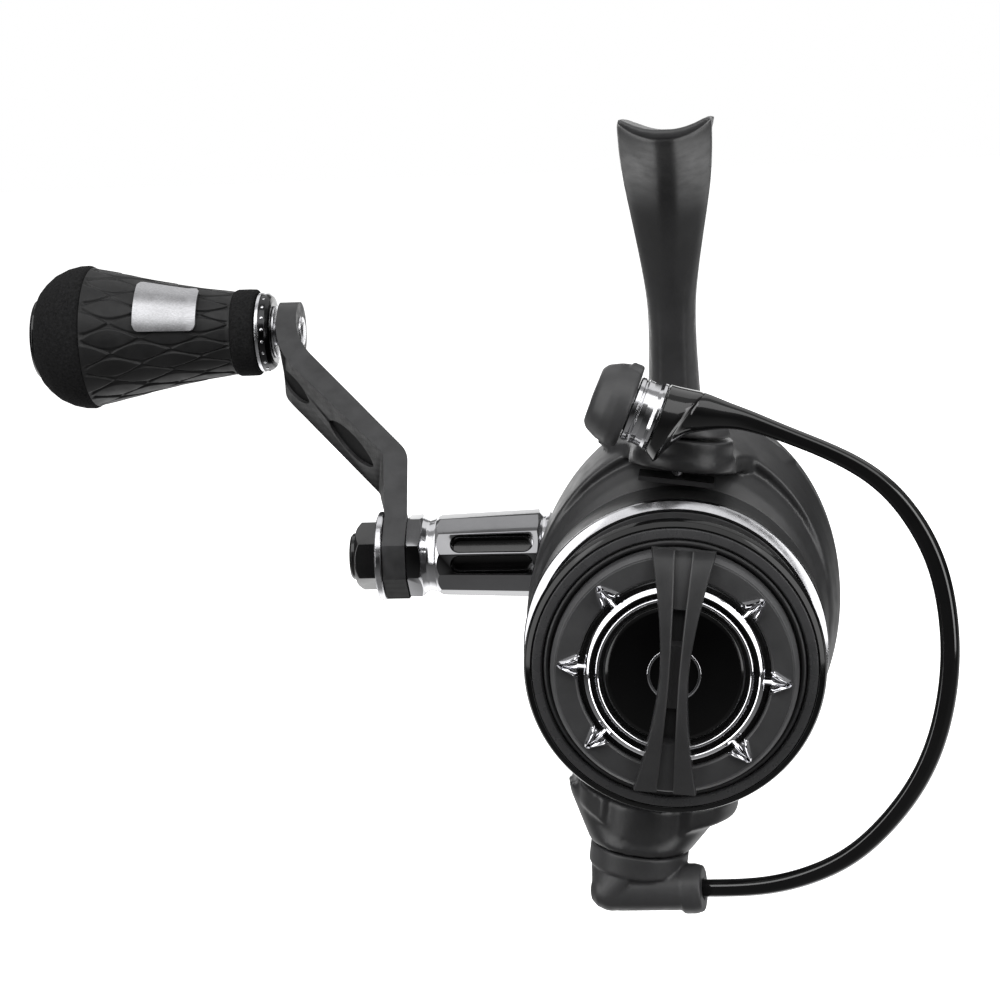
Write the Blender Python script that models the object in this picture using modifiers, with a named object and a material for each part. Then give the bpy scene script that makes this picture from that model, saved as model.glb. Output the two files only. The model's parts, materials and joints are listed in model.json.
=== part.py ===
# Spinning reel: frame with foot and stem, gear train, rotor with bail, spool
# with drag, and a cranked handle with a turning knob.
# Design frame in millimetres: origin at the centre of the spool lip, +X to the
# right seen from the front, +Y to the rear along the spool axis, +Z to the foot.
# The root empty moves all of it so that the world origin is the foot seat.
import math

import bmesh
import bpy
from mathutils import Matrix, Vector

MM = 0.001

# ---- driving sizes (mm, degrees) ----
FOOT_Y, FOOT_Z = 47.0, 73.5          # centre of the foot seat
CRANK_Y, CRANK_Z = 54.0, 6.2         # crank axis
HANDLE_LEAN = 44.7                   # handle arm leans back from upright
HANDLE_R = 48.3                      # crank axis to knob axis
KNOB_IN = 2.1                        # knob set in along the crank axis
ROTOR_TURN = 7.6                     # rotor rest angle about the spool axis
PIVOT_X, PIVOT_Y = -1.9, 15.0        # bail pivot line, in the rotor
LIP_R = 21.0
SKIRT_R = 21.7
RIM_X, RIM_Z = 24.8, 31.0            # rotor rear rim, half axes
KNOB_R = 17.1                        # drag knob
KNOB_TURN = 5.8                      # drag knob rest angle
SHAFT_R = 1.9
OSC_Y, OSC_Z = 66.9, 1.5             # oscillation gear axis
STROKE = 8.5                         # spool travel
ROLLER = (-5.94, -12.5, 34.74)       # line roller centre, in the bail
ROLLER_TILT = 15.0
GEAR_T, PINION_T = 47, 9
OSC_T, OSC_DRIVE_T = 24, 12
N_BIG, N_MID, N_SMALL = 32, 18, 12

for o in list(bpy.data.objects):
    bpy.data.objects.remove(o, do_unlink=True)

PARTS = bpy.data.collections.new("spinning_reel")
CUTTERS = bpy.data.collections.new("cutters")
for c in (PARTS, CUTTERS):
    bpy.context.scene.collection.children.link(c)
CUTTERS.hide_render = True


# ---- materials ----
def material(name, rgb, rough, metal):
    m = bpy.data.materials.new(name)
    m.use_nodes = True
    b = m.node_tree.nodes["Principled BSDF"]
    b.inputs["Base Color"].default_value = (*rgb, 1.0)
    b.inputs["Roughness"].default_value = rough
    b.inputs["Metallic"].default_value = metal
    return m


LOOK = {
    "black_body": ((0.02, 0.02, 0.022), 0.45, 0.0),
    "black_gloss": ((0.008, 0.008, 0.009), 0.12, 0.0),
    "dark_metal": ((0.05, 0.05, 0.055), 0.35, 0.9),
    "silver": ((0.75, 0.75, 0.77), 0.22, 1.0),
    "steel": ((0.55, 0.56, 0.58), 0.3, 1.0),
    "brass": ((0.75, 0.58, 0.28), 0.3, 1.0),
    "foam": ((0.03, 0.03, 0.032), 0.85, 0.0),
    "rubber": ((0.035, 0.035, 0.038), 0.6, 0.0),
    "carbon": ((0.03, 0.03, 0.03), 0.7, 0.0),
}


def look(obj, key):
    rgb, rough, metal = LOOK[key]
    obj.data.materials.append(material(obj.name + "_finish", rgb, rough, metal))


# ---- frames ----
def empty(name, at, rot=(0.0, 0.0, 0.0), parent=None):
    e = bpy.data.objects.new(name, None)
    e.empty_display_size = 0.01
    e.location = Vector(at) * MM
    e.rotation_euler = [math.radians(a) for a in rot]
    e.parent = parent
    PARTS.objects.link(e)
    return e


ROOT = empty("reel_frame", (0, -FOOT_Y, -FOOT_Z))
CRANK = empty("crank_axis", (0, CRANK_Y, CRANK_Z), (-HANDLE_LEAN, 0, 0), ROOT)
KNOB = empty("knob_axis", (KNOB_IN, 0, HANDLE_R), (0, 0, 0), CRANK)
ROTOR = empty("rotor_axis", (0, 0, 0), (0, ROTOR_TURN, 0), ROOT)
BAIL = empty("bail_pivot", (PIVOT_X, PIVOT_Y, 0), (0, 0, 0), ROTOR)
ROLL = empty("roller_axis", ROLLER, (0, ROLLER_TILT, 0), BAIL)
SHAFT = empty("main_shaft_axis", (0, 0, 0), (0, 0, 0), ROOT)
SPOOL = empty("spool_axis", (0, 0, 0), (0, 0, 0), SHAFT)
DRAG = empty("drag_knob_axis", (0, 0, 0), (0, KNOB_TURN, 0), SHAFT)
OSC = empty("oscillation_axis", (0, OSC_Y, OSC_Z), (0, 0, 0), ROOT)

AXIS_ROT = {"Z": (0, 0, 0), "Y": (-90, 0, 0), "X": (0, 90, 0)}


# ---- shape helpers ----
def place(name, mesh, parent, key, at=(0, 0, 0), axis="Z", coll=None):
    o = bpy.data.objects.new(name, mesh)
    o.parent = parent
    o.location = Vector(at) * MM
    o.rotation_euler = [math.radians(a) for a in AXIS_ROT[axis]]
    (coll or PARTS).objects.link(o)
    if key:
        look(o, key)
    else:
        o.display_type = "WIRE"
        o.hide_render = True
    return o


def turned(name, prof, parent, key, axis="Y", at=(0, 0, 0), n=N_MID, coll=None):
    """A profile of (radius, height) turned about the axis."""
    pts = [p for i, p in enumerate(prof) if i == 0 or p != prof[i - 1]]
    area = sum(a[0] * b[1] - b[0] * a[1] for a, b in zip(pts, pts[1:] + pts[:1]))
    if area > 0:
        pts = pts[::-1]
    on_axis = [i for i, p in enumerate(pts) if p[0] == 0.0]
    if on_axis:                      # start after the axis edge, leave it open
        k = next(i for i in on_axis if pts[i - 1][0] == 0.0)
        pts = pts[k:] + pts[:k]
    bm = bmesh.new()
    vs = [bm.verts.new((r * MM, 0, a * MM)) for r, a in pts]
    for a, b in zip(vs, vs[1:]):
        bm.edges.new((a, b))
    if not on_axis:
        bm.edges.new((vs[-1], vs[0]))
    me = bpy.data.meshes.new(name)
    bm.to_mesh(me)
    bm.free()
    o = place(name, me, parent, key, at, axis, coll)
    s = o.modifiers.new("turn", "SCREW")
    s.axis = "Z"
    s.angle = math.radians(360)
    s.steps = s.render_steps = n
    s.use_merge_vertices = True
    s.merge_threshold = 1e-6
    return o


def ring(name, r0, r1, a0, a1, parent, key, axis="Y", at=(0, 0, 0), n=N_SMALL, coll=None):
    return turned(name, [(r0, a0), (r1, a0), (r1, a1), (r0, a1)], parent, key, axis, at, n, coll)


def rod(name, r, a0, a1, parent, key, axis="Y", at=(0, 0, 0), n=N_SMALL, coll=None):
    return turned(name, [(0.0, a0), (r, a0), (r, a1), (0.0, a1)], parent, key, axis, at, n, coll)


def prism(name, outline, a0, a1, parent, key, plane="XY", at=(0, 0, 0), coll=None):
    """A flat outline drawn in a plane and pulled along the third axis."""
    third = {"XY": 2, "XZ": 1, "YZ": 0}[plane]
    bm = bmesh.new()
    vs = []
    for p, q in outline:
        c = [p, q]
        c.insert(third, a0)
        vs.append(bm.verts.new(Vector(c) * MM))
    face = [bm.faces.new(vs)]
    pulled = bmesh.ops.extrude_face_region(bm, geom=face)["geom"]
    step = Vector((0, 0, 0))
    step[third] = (a1 - a0) * MM
    bmesh.ops.translate(bm, vec=step, verts=[g for g in pulled if isinstance(g, bmesh.types.BMVert)])
    bmesh.ops.recalc_face_normals(bm, faces=bm.faces)
    me = bpy.data.meshes.new(name)
    bm.to_mesh(me)
    bm.free()
    return place(name, me, parent, key, at, "Z", coll)


def loft(name, rings, parent, key, at=(0, 0, 0), closed=False, coll=None):
    """Skin over unlike sections; closed joins the last section to the first."""
    bm = bmesh.new()
    rows = [[bm.verts.new(Vector(p) * MM) for p in r] for r in rings]
    pairs = list(zip(rows, rows[1:]))
    if closed:
        pairs.append((rows[-1], rows[0]))
    for a, b in pairs:
        m = len(a)
        for i in range(m):
            bm.faces.new((a[i], a[(i + 1) % m], b[(i + 1) % m], b[i]))
    if not closed:
        bm.faces.new(rows[0])
        bm.faces.new(rows[-1])
    bmesh.ops.recalc_face_normals(bm, faces=bm.faces)
    me = bpy.data.meshes.new(name)
    bm.to_mesh(me)
    bm.free()
    return place(name, me, parent, key, at, "Z", coll)


def boolean(o, other, op):
    m = o.modifiers.new(op.lower() + "_" + other.name, "BOOLEAN")
    m.operation = op
    m.solver = "EXACT"
    m.object = other
    return o


def add(o, other):
    return boolean(o, other, "UNION")


def cut(o, other):
    return boolean(o, other, "DIFFERENCE")


def box_outline(x0, x1, y0, y1):
    return [(x0, y0), (x1, y0), (x1, y1), (x0, y1)]


def inset(poly, d):
    out = []
    n = len(poly)
    for i in range(n):
        a, b, c = Vector(poly[i - 1]), Vector(poly[i]), Vector(poly[(i + 1) % n])
        n1 = Vector((-(b - a).y, (b - a).x)).normalized()
        n2 = Vector((-(c - b).y, (c - b).x)).normalized()
        k = (n1 + n2).normalized()
        out.append(tuple(b + k * (d / max(0.5, k.dot(n1)))))
    return out


def hexagon(flats, turn=0.0):
    r = flats / math.sqrt(3)
    return [(r * math.cos(math.radians(60 * i + turn)), r * math.sin(math.radians(60 * i + turn))) for i in range(6)]


def gear_outline(teeth, tip, root, turn=0.0, tip_part=0.22, root_part=0.52):
    pts = []
    for i in range(teeth):
        c = 2 * math.pi * i / teeth + math.radians(turn)
        p = 2 * math.pi / teeth
        for r, f in ((root, -root_part / 2), (tip, -tip_part / 2), (tip, tip_part / 2), (root, root_part / 2)):
            pts.append((r * math.cos(c + f * p), r * math.sin(c + f * p)))
    return pts


def coil(name, radius, wire, turns, a0, a1, parent, key, at=(0, 0, 0), axis="Y"):
    cu = bpy.data.curves.new(name, "CURVE")
    cu.dimensions = "3D"
    cu.bevel_depth = wire * MM
    cu.bevel_resolution = 0
    cu.use_fill_caps = True
    sp = cu.splines.new("POLY")
    n = int(turns * 10)
    sp.points.add(n)
    for i in range(n + 1):
        t = 2 * math.pi * i / 10
        sp.points[i].co = (radius * MM * math.cos(t), radius * MM * math.sin(t), (a0 + (a1 - a0) * i / n) * MM, 1)
    o = bpy.data.objects.new(name, cu)
    dg = bpy.context.evaluated_depsgraph_get()
    PARTS.objects.link(o)
    dg.update()
    me = bpy.data.meshes.new_from_object(o.evaluated_get(dg))
    bpy.data.objects.remove(o, do_unlink=True)
    bm = bmesh.new()
    bm.from_mesh(me)
    bmesh.ops.remove_doubles(bm, verts=bm.verts, dist=1e-7)
    bmesh.ops.recalc_face_normals(bm, faces=bm.faces)
    bm.to_mesh(me)
    bm.free()
    me.materials.clear()
    me.name = name
    return place(name, me, parent, key, at, axis)


# =====================================================================
# Frame: gearbox with stem and foot in one casting
# =====================================================================
GEARBOX = [(44.0, -19.4), (54, -18.9), (62, -16.6), (71, -13.2), (78, -9), (82, -4), (83.2, 2),
           (81.4, 8.6), (76.5, 15), (69.5, 20), (61.5, 23.4), (54, 24.4), (44.0, 20.2)]


COVER = [(46.8, -19.2)] + GEARBOX[1:-1] + [(46.8, 21.2)]


def gearbox_ring(x, d, line=GEARBOX):
    return [(x, y, z) for y, z in inset(line, d)]


housing = loft("body_housing", [gearbox_ring(-12.5, 4.2), gearbox_ring(-11.6, 2.0), gearbox_ring(-9.6, 0.5),
                                gearbox_ring(-7.0, 0.0), gearbox_ring(9.2, 0.0)], ROOT, "black_body")
nose = rod("nose_block", 20.4, 33.0, 46.5, ROOT, None, n=N_BIG, coll=CUTTERS)
boss = rod("crank_boss", 8.2, -19.4, -9.0, ROOT, None, "X", (0, CRANK_Y, CRANK_Z), N_MID, CUTTERS)

STEM = [(12, 60.5, 6.4, 12.0), (24, 58.6, 5.0, 11.2), (30, 57.0, 4.3, 10.4), (36, 55.2, 3.95, 9.7),
        (42, 53.4, 3.7, 9.2), (47, 52.0, 3.8, 9.1), (52, 50.6, 4.35, 9.5), (57, 49.4, 5.1, 10.6),
        (62, 48.4, 6.0, 12.8), (66, 47.6, 6.7, 16.4), (69.4, 47.0, 7.05, 21.5), (71.6, 47.0, 7.1, 26.0)]


def stem_ring(z, yc, hx, hy, n=20):
    pts = []
    for i in range(n):
        t = 2 * math.pi * (i + 0.5) / n
        c, s = math.cos(t), math.sin(t)
        pts.append((hx * math.copysign(abs(c) ** 0.75, c), yc + hy * math.copysign(abs(s) ** 0.75, s), z))
    return pts


stem = loft("stem_block", [stem_ring(*s) for s in STEM], ROOT, None, coll=CUTTERS)

SADDLE_R = 11.6
FLAT = 1.3


def saddle(x):
    x = max(abs(x), FLAT)
    return math.sqrt(SADDLE_R ** 2 - FLAT ** 2) - math.sqrt(SADDLE_R ** 2 - x * x)


def foot_ring(y, hx, t):
    xs = [-hx, -0.78 * hx, -0.5 * hx, -FLAT, FLAT, 0.5 * hx, 0.78 * hx, hx]
    top = [(x, y, FOOT_Z + saddle(x)) for x in xs]
    low = [(x * 0.97, y, FOOT_Z + saddle(x) - t * (1 - 0.35 * (x / hx) ** 4)) for x in reversed(xs)]
    return top + low


foot = loft("foot_block", [foot_ring(17.0, 5.9, 1.1), foot_ring(18.2, 6.5, 1.3), foot_ring(28, 6.9, 2.0),
                           foot_ring(38, 7.2, 2.9), foot_ring(47, 7.3, 3.2), foot_ring(56, 7.2, 2.9),
                           foot_ring(66, 6.7, 2.0), foot_ring(75.8, 6.0, 1.3), foot_ring(77.0, 5.3, 1.1)],
            ROOT, None, coll=CUTTERS)
for part in (nose, boss, stem, foot):
    add(housing, part)

main_pocket = prism("gear_pocket", inset([(46.0, -17.8)] + GEARBOX[1:-1] + [(46.0, 21.0)], 1.9), -10.4, 10.0,
                    ROOT, None, "YZ", coll=CUTTERS)
front_pocket = prism("front_pocket", [(37.4, -8.8), (49, -8.8), (49, 20.6), (45.6, 19.0), (43.4, 17.0), (40.2, 13.8), (37.4, 7.4)],
                     -4.6, 7.6, ROOT, None, "YZ", coll=CUTTERS)
bearing_seat = rod("bearing_seat", 6.65, 32.0, 37.25, ROOT, None, n=N_MID, coll=CUTTERS)
pinion_way = rod("pinion_way", 4.3, 31.5, 39.0, ROOT, None, n=N_SMALL, coll=CUTTERS)
crank_way = rod("crank_way", 6.15, -20.0, -9.5, ROOT, None, "X", (0, CRANK_Y, CRANK_Z), N_MID, CUTTERS)
for part in (main_pocket, front_pocket):
    cut(housing, part)

# Inside bracket for the rear of the pinion and for the guide rod.
bracket = prism("pinion_bracket", box_outline(46.5, 49.3, -4.8, 4.4), -11.4, 3.7, ROOT, None, "YZ", coll=CUTTERS)
rib = prism("guide_rib", box_outline(55.2, 58.2, -9.4, -4.2), -11.4, 2.6, ROOT, None, "YZ", coll=CUTTERS)
bush_way = rod("bush_way", 3.3, 46.0, 50.0, ROOT, None, n=N_SMALL, coll=CUTTERS)
rod_way = rod("guide_rod_way", 1.4, 54.0, 80.6, ROOT, None, at=(0, 0, -6.4), n=N_SMALL, coll=CUTTERS)
axle_way = rod("axle_way", 2.4, -12.0, -9.0, ROOT, None, "X", (0, OSC_Y, OSC_Z), N_SMALL, CUTTERS)
for part in (bracket, rib):
    add(housing, part)

SCREWS = [(50.0, -14.6), (74.0, -8.2), (69.4, 15.6)]
cover = loft("side_cover", [gearbox_ring(9.4, 0.0, COVER), gearbox_ring(11.0, 0.5, COVER), gearbox_ring(12.8, 2.2, COVER),
                            gearbox_ring(13.6, 4.2, COVER)], ROOT, "black_body")
cover_boss = rod("cover_boss", 7.1, 10.0, 15.4, ROOT, None, "X", (0, CRANK_Y, CRANK_Z), N_MID, CUTTERS)
cover_pocket = prism("cover_pocket", inset(COVER, 5.0), 8.8, 11.7, ROOT, None, "YZ", coll=CUTTERS)
cover_seat = rod("cover_seat", 5.65, 9.0, 13.7, ROOT, None, "X", (0, CRANK_Y, CRANK_Z), N_MID, CUTTERS)
add(cover, cover_boss)
cut(cover, cover_pocket)
cut(cover, cover_seat)
holes = []
for i, (y, z) in enumerate(SCREWS):
    post = rod("screw_post_%d" % (i + 1), 2.3, 4.2, 9.1, ROOT, None, "X", (0, y, z), N_SMALL, CUTTERS)
    hole = turned("screw_hole_%d" % (i + 1), [(0.0, 4.8), (1.0, 4.8), (1.0, 12.2), (2.1, 12.2), (2.1, 15.0), (0.0, 15.0)],
                  ROOT, None, "X", (0, y, z), N_SMALL, CUTTERS)
    add(housing, post)
    holes.append(hole)
    cut(cover, hole)
    turned("cover_screw_%d" % (i + 1), [(0.0, 5.2), (0.85, 5.2), (0.85, 12.4), (1.9, 12.4), (1.9, 13.4), (1.5, 13.8), (0.0, 13.8)],
           ROOT, "steel", "X", (0, y, z), 12)

for part in (bush_way, rod_way, axle_way, pinion_way, bearing_seat):
    cut(housing, part)
for part in (*holes, crank_way):
    cut(housing, part)
    housing.modifiers[-1].solver = "MANIFOLD"

ring("drive_bearing_handle_side", 3.25, 6.0, -18.6, -14.8, ROOT, "steel", "X", (0, CRANK_Y, CRANK_Z), 16)
ring("drive_bearing_cover_side", 2.65, 5.5, 9.9, 13.4, ROOT, "steel", "X", (0, CRANK_Y, CRANK_Z), 16)
ring("pinion_bearing_front", 3.4, 6.5, 33.7, 37.1, ROOT, "steel", n=16)
ring("pinion_bush_rear", 2.75, 3.15, 46.6, 49.2, ROOT, "brass", n=N_SMALL)
ring("one_way_clutch", 5.1, 9.2, 26.8, 32.8, ROOT, "steel", n=18)
rod("oscillation_guide_rod", 1.2, 54.6, 80.3, ROOT, "steel", at=(0, 0, -6.4), n=12)
turned("cover_cap", [(0.0, 15.6), (7.1, 15.6), (6.8, 16.6), (5.4, 17.2), (0.0, 17.4)], ROOT, "silver", "X",
       (0, CRANK_Y, CRANK_Z), N_MID)

# =====================================================================
# Crank: face gear, shank, bent arm, nut and knob spindle
# =====================================================================
gear = turned("drive_gear", [(0.0, 13.2), (2.5, 13.2), (2.5, 9.7), (4.4, 9.7), (4.4, 7.2), (14.5, 7.2), (14.5, 3.85),
                             (11.6, 3.85), (11.2, 5.4), (4.8, 5.4), (3.4, 5.0), (3.4, -13.6), (3.1, -13.6),
                             (3.1, -19.6), (2.7, -19.6), (2.7, -26.0), (0.0, -26.0)], CRANK, "steel", "X", n=36)
gaps = bmesh.new()
for i in range(GEAR_T):
    a = 2 * math.pi * i / GEAR_T
    gap = bmesh.ops.create_cube(gaps, size=1.0)["verts"]
    bmesh.ops.scale(gaps, vec=Vector((2.1, 0.9, 5.0)) * MM, verts=gap)
    bmesh.ops.translate(gaps, vec=Vector((3.95, 0, 13.2)) * MM, verts=gap)
    bmesh.ops.rotate(gaps, cent=(0, 0, 0), matrix=Matrix.Rotation(a, 3, "X"), verts=gap)
gap_mesh = bpy.data.meshes.new("gear_gaps")
gaps.to_mesh(gap_mesh)
gaps.free()
cut(gear, place("gear_gaps", gap_mesh, CRANK, None, coll=CUTTERS))

osc_line = math.degrees(math.atan2(OSC_Z - CRANK_Z, OSC_Y - CRANK_Y))
osc_drive = prism("oscillation_drive_gear", gear_outline(OSC_DRIVE_T, 5.05, 3.95, osc_line + HANDLE_LEAN), -9.5, -6.6,
                  CRANK, "brass", "YZ")
cut(osc_drive, rod("osc_drive_bore", 3.55, -10.5, -6.0, CRANK, None, "X", n=N_SMALL, coll=CUTTERS))


def oct_ring(x, flats):
    r = flats / 2 / math.cos(math.pi / 8)
    return [(x, r * math.cos(math.radians(21.7 + 45 * i)), r * math.sin(math.radians(21.7 + 45 * i))) for i in range(8)]


shank = loft("handle_shank", [oct_ring(-20.9, 11.8), oct_ring(-22.2, 12.9), oct_ring(-38.6, 11.9), oct_ring(-39.4, 11.0)],
             CRANK, "dark_metal")
add(shank, rod("shank_stud", 2.9, -54.8, -38.2, CRANK, None, "X", n=N_SMALL, coll=CUTTERS))
cut(shank, rod("shank_socket", 2.85, -26.4, -20.0, CRANK, None, "X", n=N_SMALL, coll=CUTTERS))
slot_line = [(-35.0 + 1.45 * math.cos(math.radians(a)), 1.45 * math.sin(math.radians(a))) for a in range(90, 271, 30)]
slot_line += [(-24.8 + 1.45 * math.cos(math.radians(a)), 1.45 * math.sin(math.radians(a))) for a in range(-90, 91, 30)]
for i in range(8):
    slot = prism("shank_slot_%d" % (i + 1), slot_line, 5.2, 8.6, CRANK, None, "XY", coll=CUTTERS)
    slot.rotation_euler = (math.radians(44.2 - 90 + 45 * i), 0, 0)
    cut(shank, slot)
turned("shank_collar", [(3.05, -39.7), (5.6, -39.7), (5.1, -40.8), (5.4, -42.1), (6.5, -42.4), (6.7, -43.4), (6.5, -44.3), (3.05, -44.3)],
       CRANK, "silver", "X", n=N_MID)

ARM_IN = [(-44.5, -8.0), (-44.5, 15.0), (-46.2, 18.4), (-65.9, 37.4), (-67.4, 40.4), (-67.4, 56.0)]
ARM_OUT = [(-70.6, 56.0), (-70.6, 39.2), (-69.5, 36.8), (-49.8, 17.8), (-48.6, 15.2), (-48.6, -8.0)]
arm = prism("handle_arm", ARM_IN + ARM_OUT, -7.5, 7.5, CRANK, "dark_metal", "XZ")
arm_plan = [(6.3 * math.cos(math.radians(a)), 6.3 * math.sin(math.radians(a))) for a in range(-180, 1, 20)]
arm_plan += [(5.2 * math.cos(math.radians(a)), HANDLE_R + 5.2 * math.sin(math.radians(a))) for a in range(0, 181, 20)]
boolean(arm, prism("arm_plan", arm_plan, -80, -40, CRANK, None, "YZ", coll=CUTTERS), "INTERSECT")
cut(arm, rod("arm_stud_way", 3.05, -50.5, -43.5, CRANK, None, "X", n=N_SMALL, coll=CUTTERS))
cut(arm, rod("arm_spindle_way", 2.55, -74.0, -68.0, KNOB, None, "X", n=N_SMALL, coll=CUTTERS))
ring("arm_washer", 3.05, 7.0, -49.8, -48.8, CRANK, "silver", "X", n=24)
nut = prism("arm_nut", hexagon(9.6, 6.7), -53.6, -49.95, CRANK, "black_gloss", "YZ")
cut(nut, rod("arm_nut_bore", 3.05, -56, -49, CRANK, None, "X", n=N_SMALL, coll=CUTTERS))
turned("knob_spindle", [(0.0, -66.6), (2.2, -66.6), (4.0, -67.6), (4.0, -69.3), (2.4, -69.3), (2.4, -112.4), (0.0, -112.4)],
       KNOB, "steel", "X", n=14)

# Knob that turns on the spindle.
ring("knob_bearing_inner", 2.55, 4.5, -79.6, -76.2, KNOB, "steel", "X", n=14)
ring("knob_bearing_outer", 2.55, 4.5, -111.8, -108.6, KNOB, "steel", "X", n=14)
ring("knob_core", 4.65, 5.5, -112.8, -75.9, KNOB, "black_body", "X", n=16)
turned("knob_collar", [(2.6, -73.2), (6.6, -73.2), (7.0, -73.7), (7.0, -75.2), (6.6, -75.7), (2.6, -75.7)],
       KNOB, "dark_metal", "X", n=N_MID)
turned("knob_foam_ring", [(5.6, -75.9), (7.3, -75.9), (7.7, -77.0), (7.7, -79.3), (7.4, -79.9), (5.6, -79.9)],
       KNOB, "foam", "X", n=N_MID)
turned("knob_sleeve", [(5.6, -80.1), (7.4, -80.1), (8.3, -86), (9.6, -93), (11.2, -100), (12.4, -105.6), (5.6, -105.6)],
       KNOB, "rubber", "X", n=24)
turned("knob_foam_dome", [(5.6, -105.8), (12.6, -105.8), (12.8, -107.4), (12.2, -110.4), (10.7, -113.4), (8.3, -116.4),
                          (7.7, -116.9), (7.6, -115.6), (5.6, -115.6)], KNOB, "foam", "X", n=24)
turned("knob_end_cap", [(0.0, -115.8), (7.4, -115.8), (7.4, -117.2), (6.9, -117.9), (0.0, -118.1)], KNOB, "black_gloss", "X", n=N_MID)
turned("knob_screw", [(0.0, -112.6), (3.4, -112.6), (3.4, -114.0), (2.8, -114.6), (0.0, -114.6)], KNOB, "steel", "X", n=16)


def plate_ring(x, r, half, out=0.7, lift=0.25):
    c = math.radians(180 + 30 + HANDLE_LEAN - 60)
    ang = [c + math.radians(half * k / 3.0) for k in range(-3, 4)]
    return [(x, (r + lift + out) * math.cos(a), (r + lift + out) * math.sin(a)) for a in ang] + \
           [(x, (r + lift) * math.cos(a), (r + lift) * math.sin(a)) for a in reversed(ang)]


loft("knob_plate", [plate_ring(-87.6, 8.62, 29), plate_ring(-93.0, 9.6, 29), plate_ring(-98.8, 10.93, 29)], KNOB, "silver")

# =====================================================================
# Rotor, pinion and clutch sleeve
# =====================================================================
def oval(y, rx, rz, n=32):
    return [(rx * math.cos(2 * math.pi * i / n), y, rz * math.sin(2 * math.pi * i / n)) for i in range(n)]


ROTOR_SKIN = [(18.5, 3.45, 3.45), (18.5, 16.6, 16.6), (20.2, 19.5, 19.5), (25.5, 19.5, 19.5), (26.4, 21.4, 21.8),
              (29.5, 23.4, 25.0), (33.5, 24.5, 28.2), (38.0, 24.9, 30.4), (42.0, 25.0, 31.0), (44.0, 24.7, 30.7),
              (44.0, 23.3, 28.9), (36.0, 22.6, 26.8), (31.5, 21.9, 23.4), (28.4, 17.7, 17.7), (21.6, 17.6, 17.6),
              (21.6, 6.2, 6.2), (26.2, 6.2, 6.2), (26.2, 3.45, 3.45)]
rotor = loft("rotor", [oval(*s) for s in ROTOR_SKIN], ROTOR, "black_body", closed=True)

ARM_STATIONS = [(39.0, -0.3, 13.6, 29.2, 6.0, 25.2, 5.4), (33.0, -0.8, 12.4, 28.2, 4.6, 23.6, 3.9),
                (28.0, -1.6, 10.8, 27.2, 3.0, 22.9, 2.8), (23.0, -1.9, 9.0, 26.9, 2.0, 22.8, 1.9),
                (15.0, -1.8, 7.3, 26.9, 1.0, 22.9, 1.0), (9.6, -1.85, 4.6, 26.5, 0.5, 23.3, 0.5)]


def arm_ring(y, xc, w, zo, do, zi, di, side):
    ts = [-1, -0.7, -0.35, 0, 0.35, 0.7, 1]
    return [(xc + w * t, y, side * (zo - do * t * t)) for t in ts] + \
           [(xc + w * t, y, side * (zi - di * t * t)) for t in reversed(ts)]


for side, word in ((1, "upper"), (-1, "lower")):
    add(rotor, loft("rotor_arm_" + word, [arm_ring(*s, side) for s in ARM_STATIONS], ROTOR, None, coll=CUTTERS))
    add(rotor, rod("arm_hub_" + word, 7.4, side * 22.95, side * 30.2, BAIL, None, "Z", n=N_MID, coll=CUTTERS))
    cut(rotor, rod("arm_hub_way_" + word, 1.8, side * 21.0, side * 31.0, BAIL, None, "Z", n=14, coll=CUTTERS))
# Pocket for the bail spring in the upper arm, and the recess of its cover.
cut(rotor, prism("cover_recess", box_outline(-8.3, 3.3, 18.4, 25.4), 20.4, 23.7, ROTOR, None, coll=CUTTERS))
cut(rotor, prism("spring_pocket", box_outline(-6.3, 1.3, 19.2, 24.7), 23.5, 25.6, ROTOR, None, coll=CUTTERS))
prism("rotor_arm_cover", box_outline(-8.0, 3.0, 18.7, 25.1), 22.7, 23.4, ROTOR, "black_body")
coil("bail_spring", 0.75, 0.2, 4, 19.7, 24.2, ROTOR, "steel", at=(-2.5, 0, 24.6))


def circle_ring(y, r, n=4 * PINION_T):
    return [(r * math.cos(2 * math.pi * i / n), y, r * math.sin(2 * math.pi * i / n)) for i in range(n)]


def pinion_ring(y, twist):
    return [(p, y, q) for p, q in gear_outline(PINION_T, 3.6, 2.75, twist)]


loft("pinion_gear", [circle_ring(15.7, 3.2), circle_ring(38.3, 3.2), pinion_ring(38.5, 0), pinion_ring(41.0, 14),
                     pinion_ring(43.5, 28), pinion_ring(46.0, 42), circle_ring(46.2, 2.6), circle_ring(49.1, 2.6),
                     circle_ring(49.1, 2.1), circle_ring(15.7, 2.1)], ROTOR, "brass", closed=True)
ring("clutch_sleeve", 3.35, 4.8, 26.5, 32.8, ROTOR, "steel", n=20)
rotor_nut = prism("rotor_nut", hexagon(10.0), 15.9, 18.3, ROTOR, "steel", "XZ")
cut(rotor_nut, rod("rotor_nut_bore", 3.35, 15, 19, ROTOR, None, n=N_SMALL, coll=CUTTERS))

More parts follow.
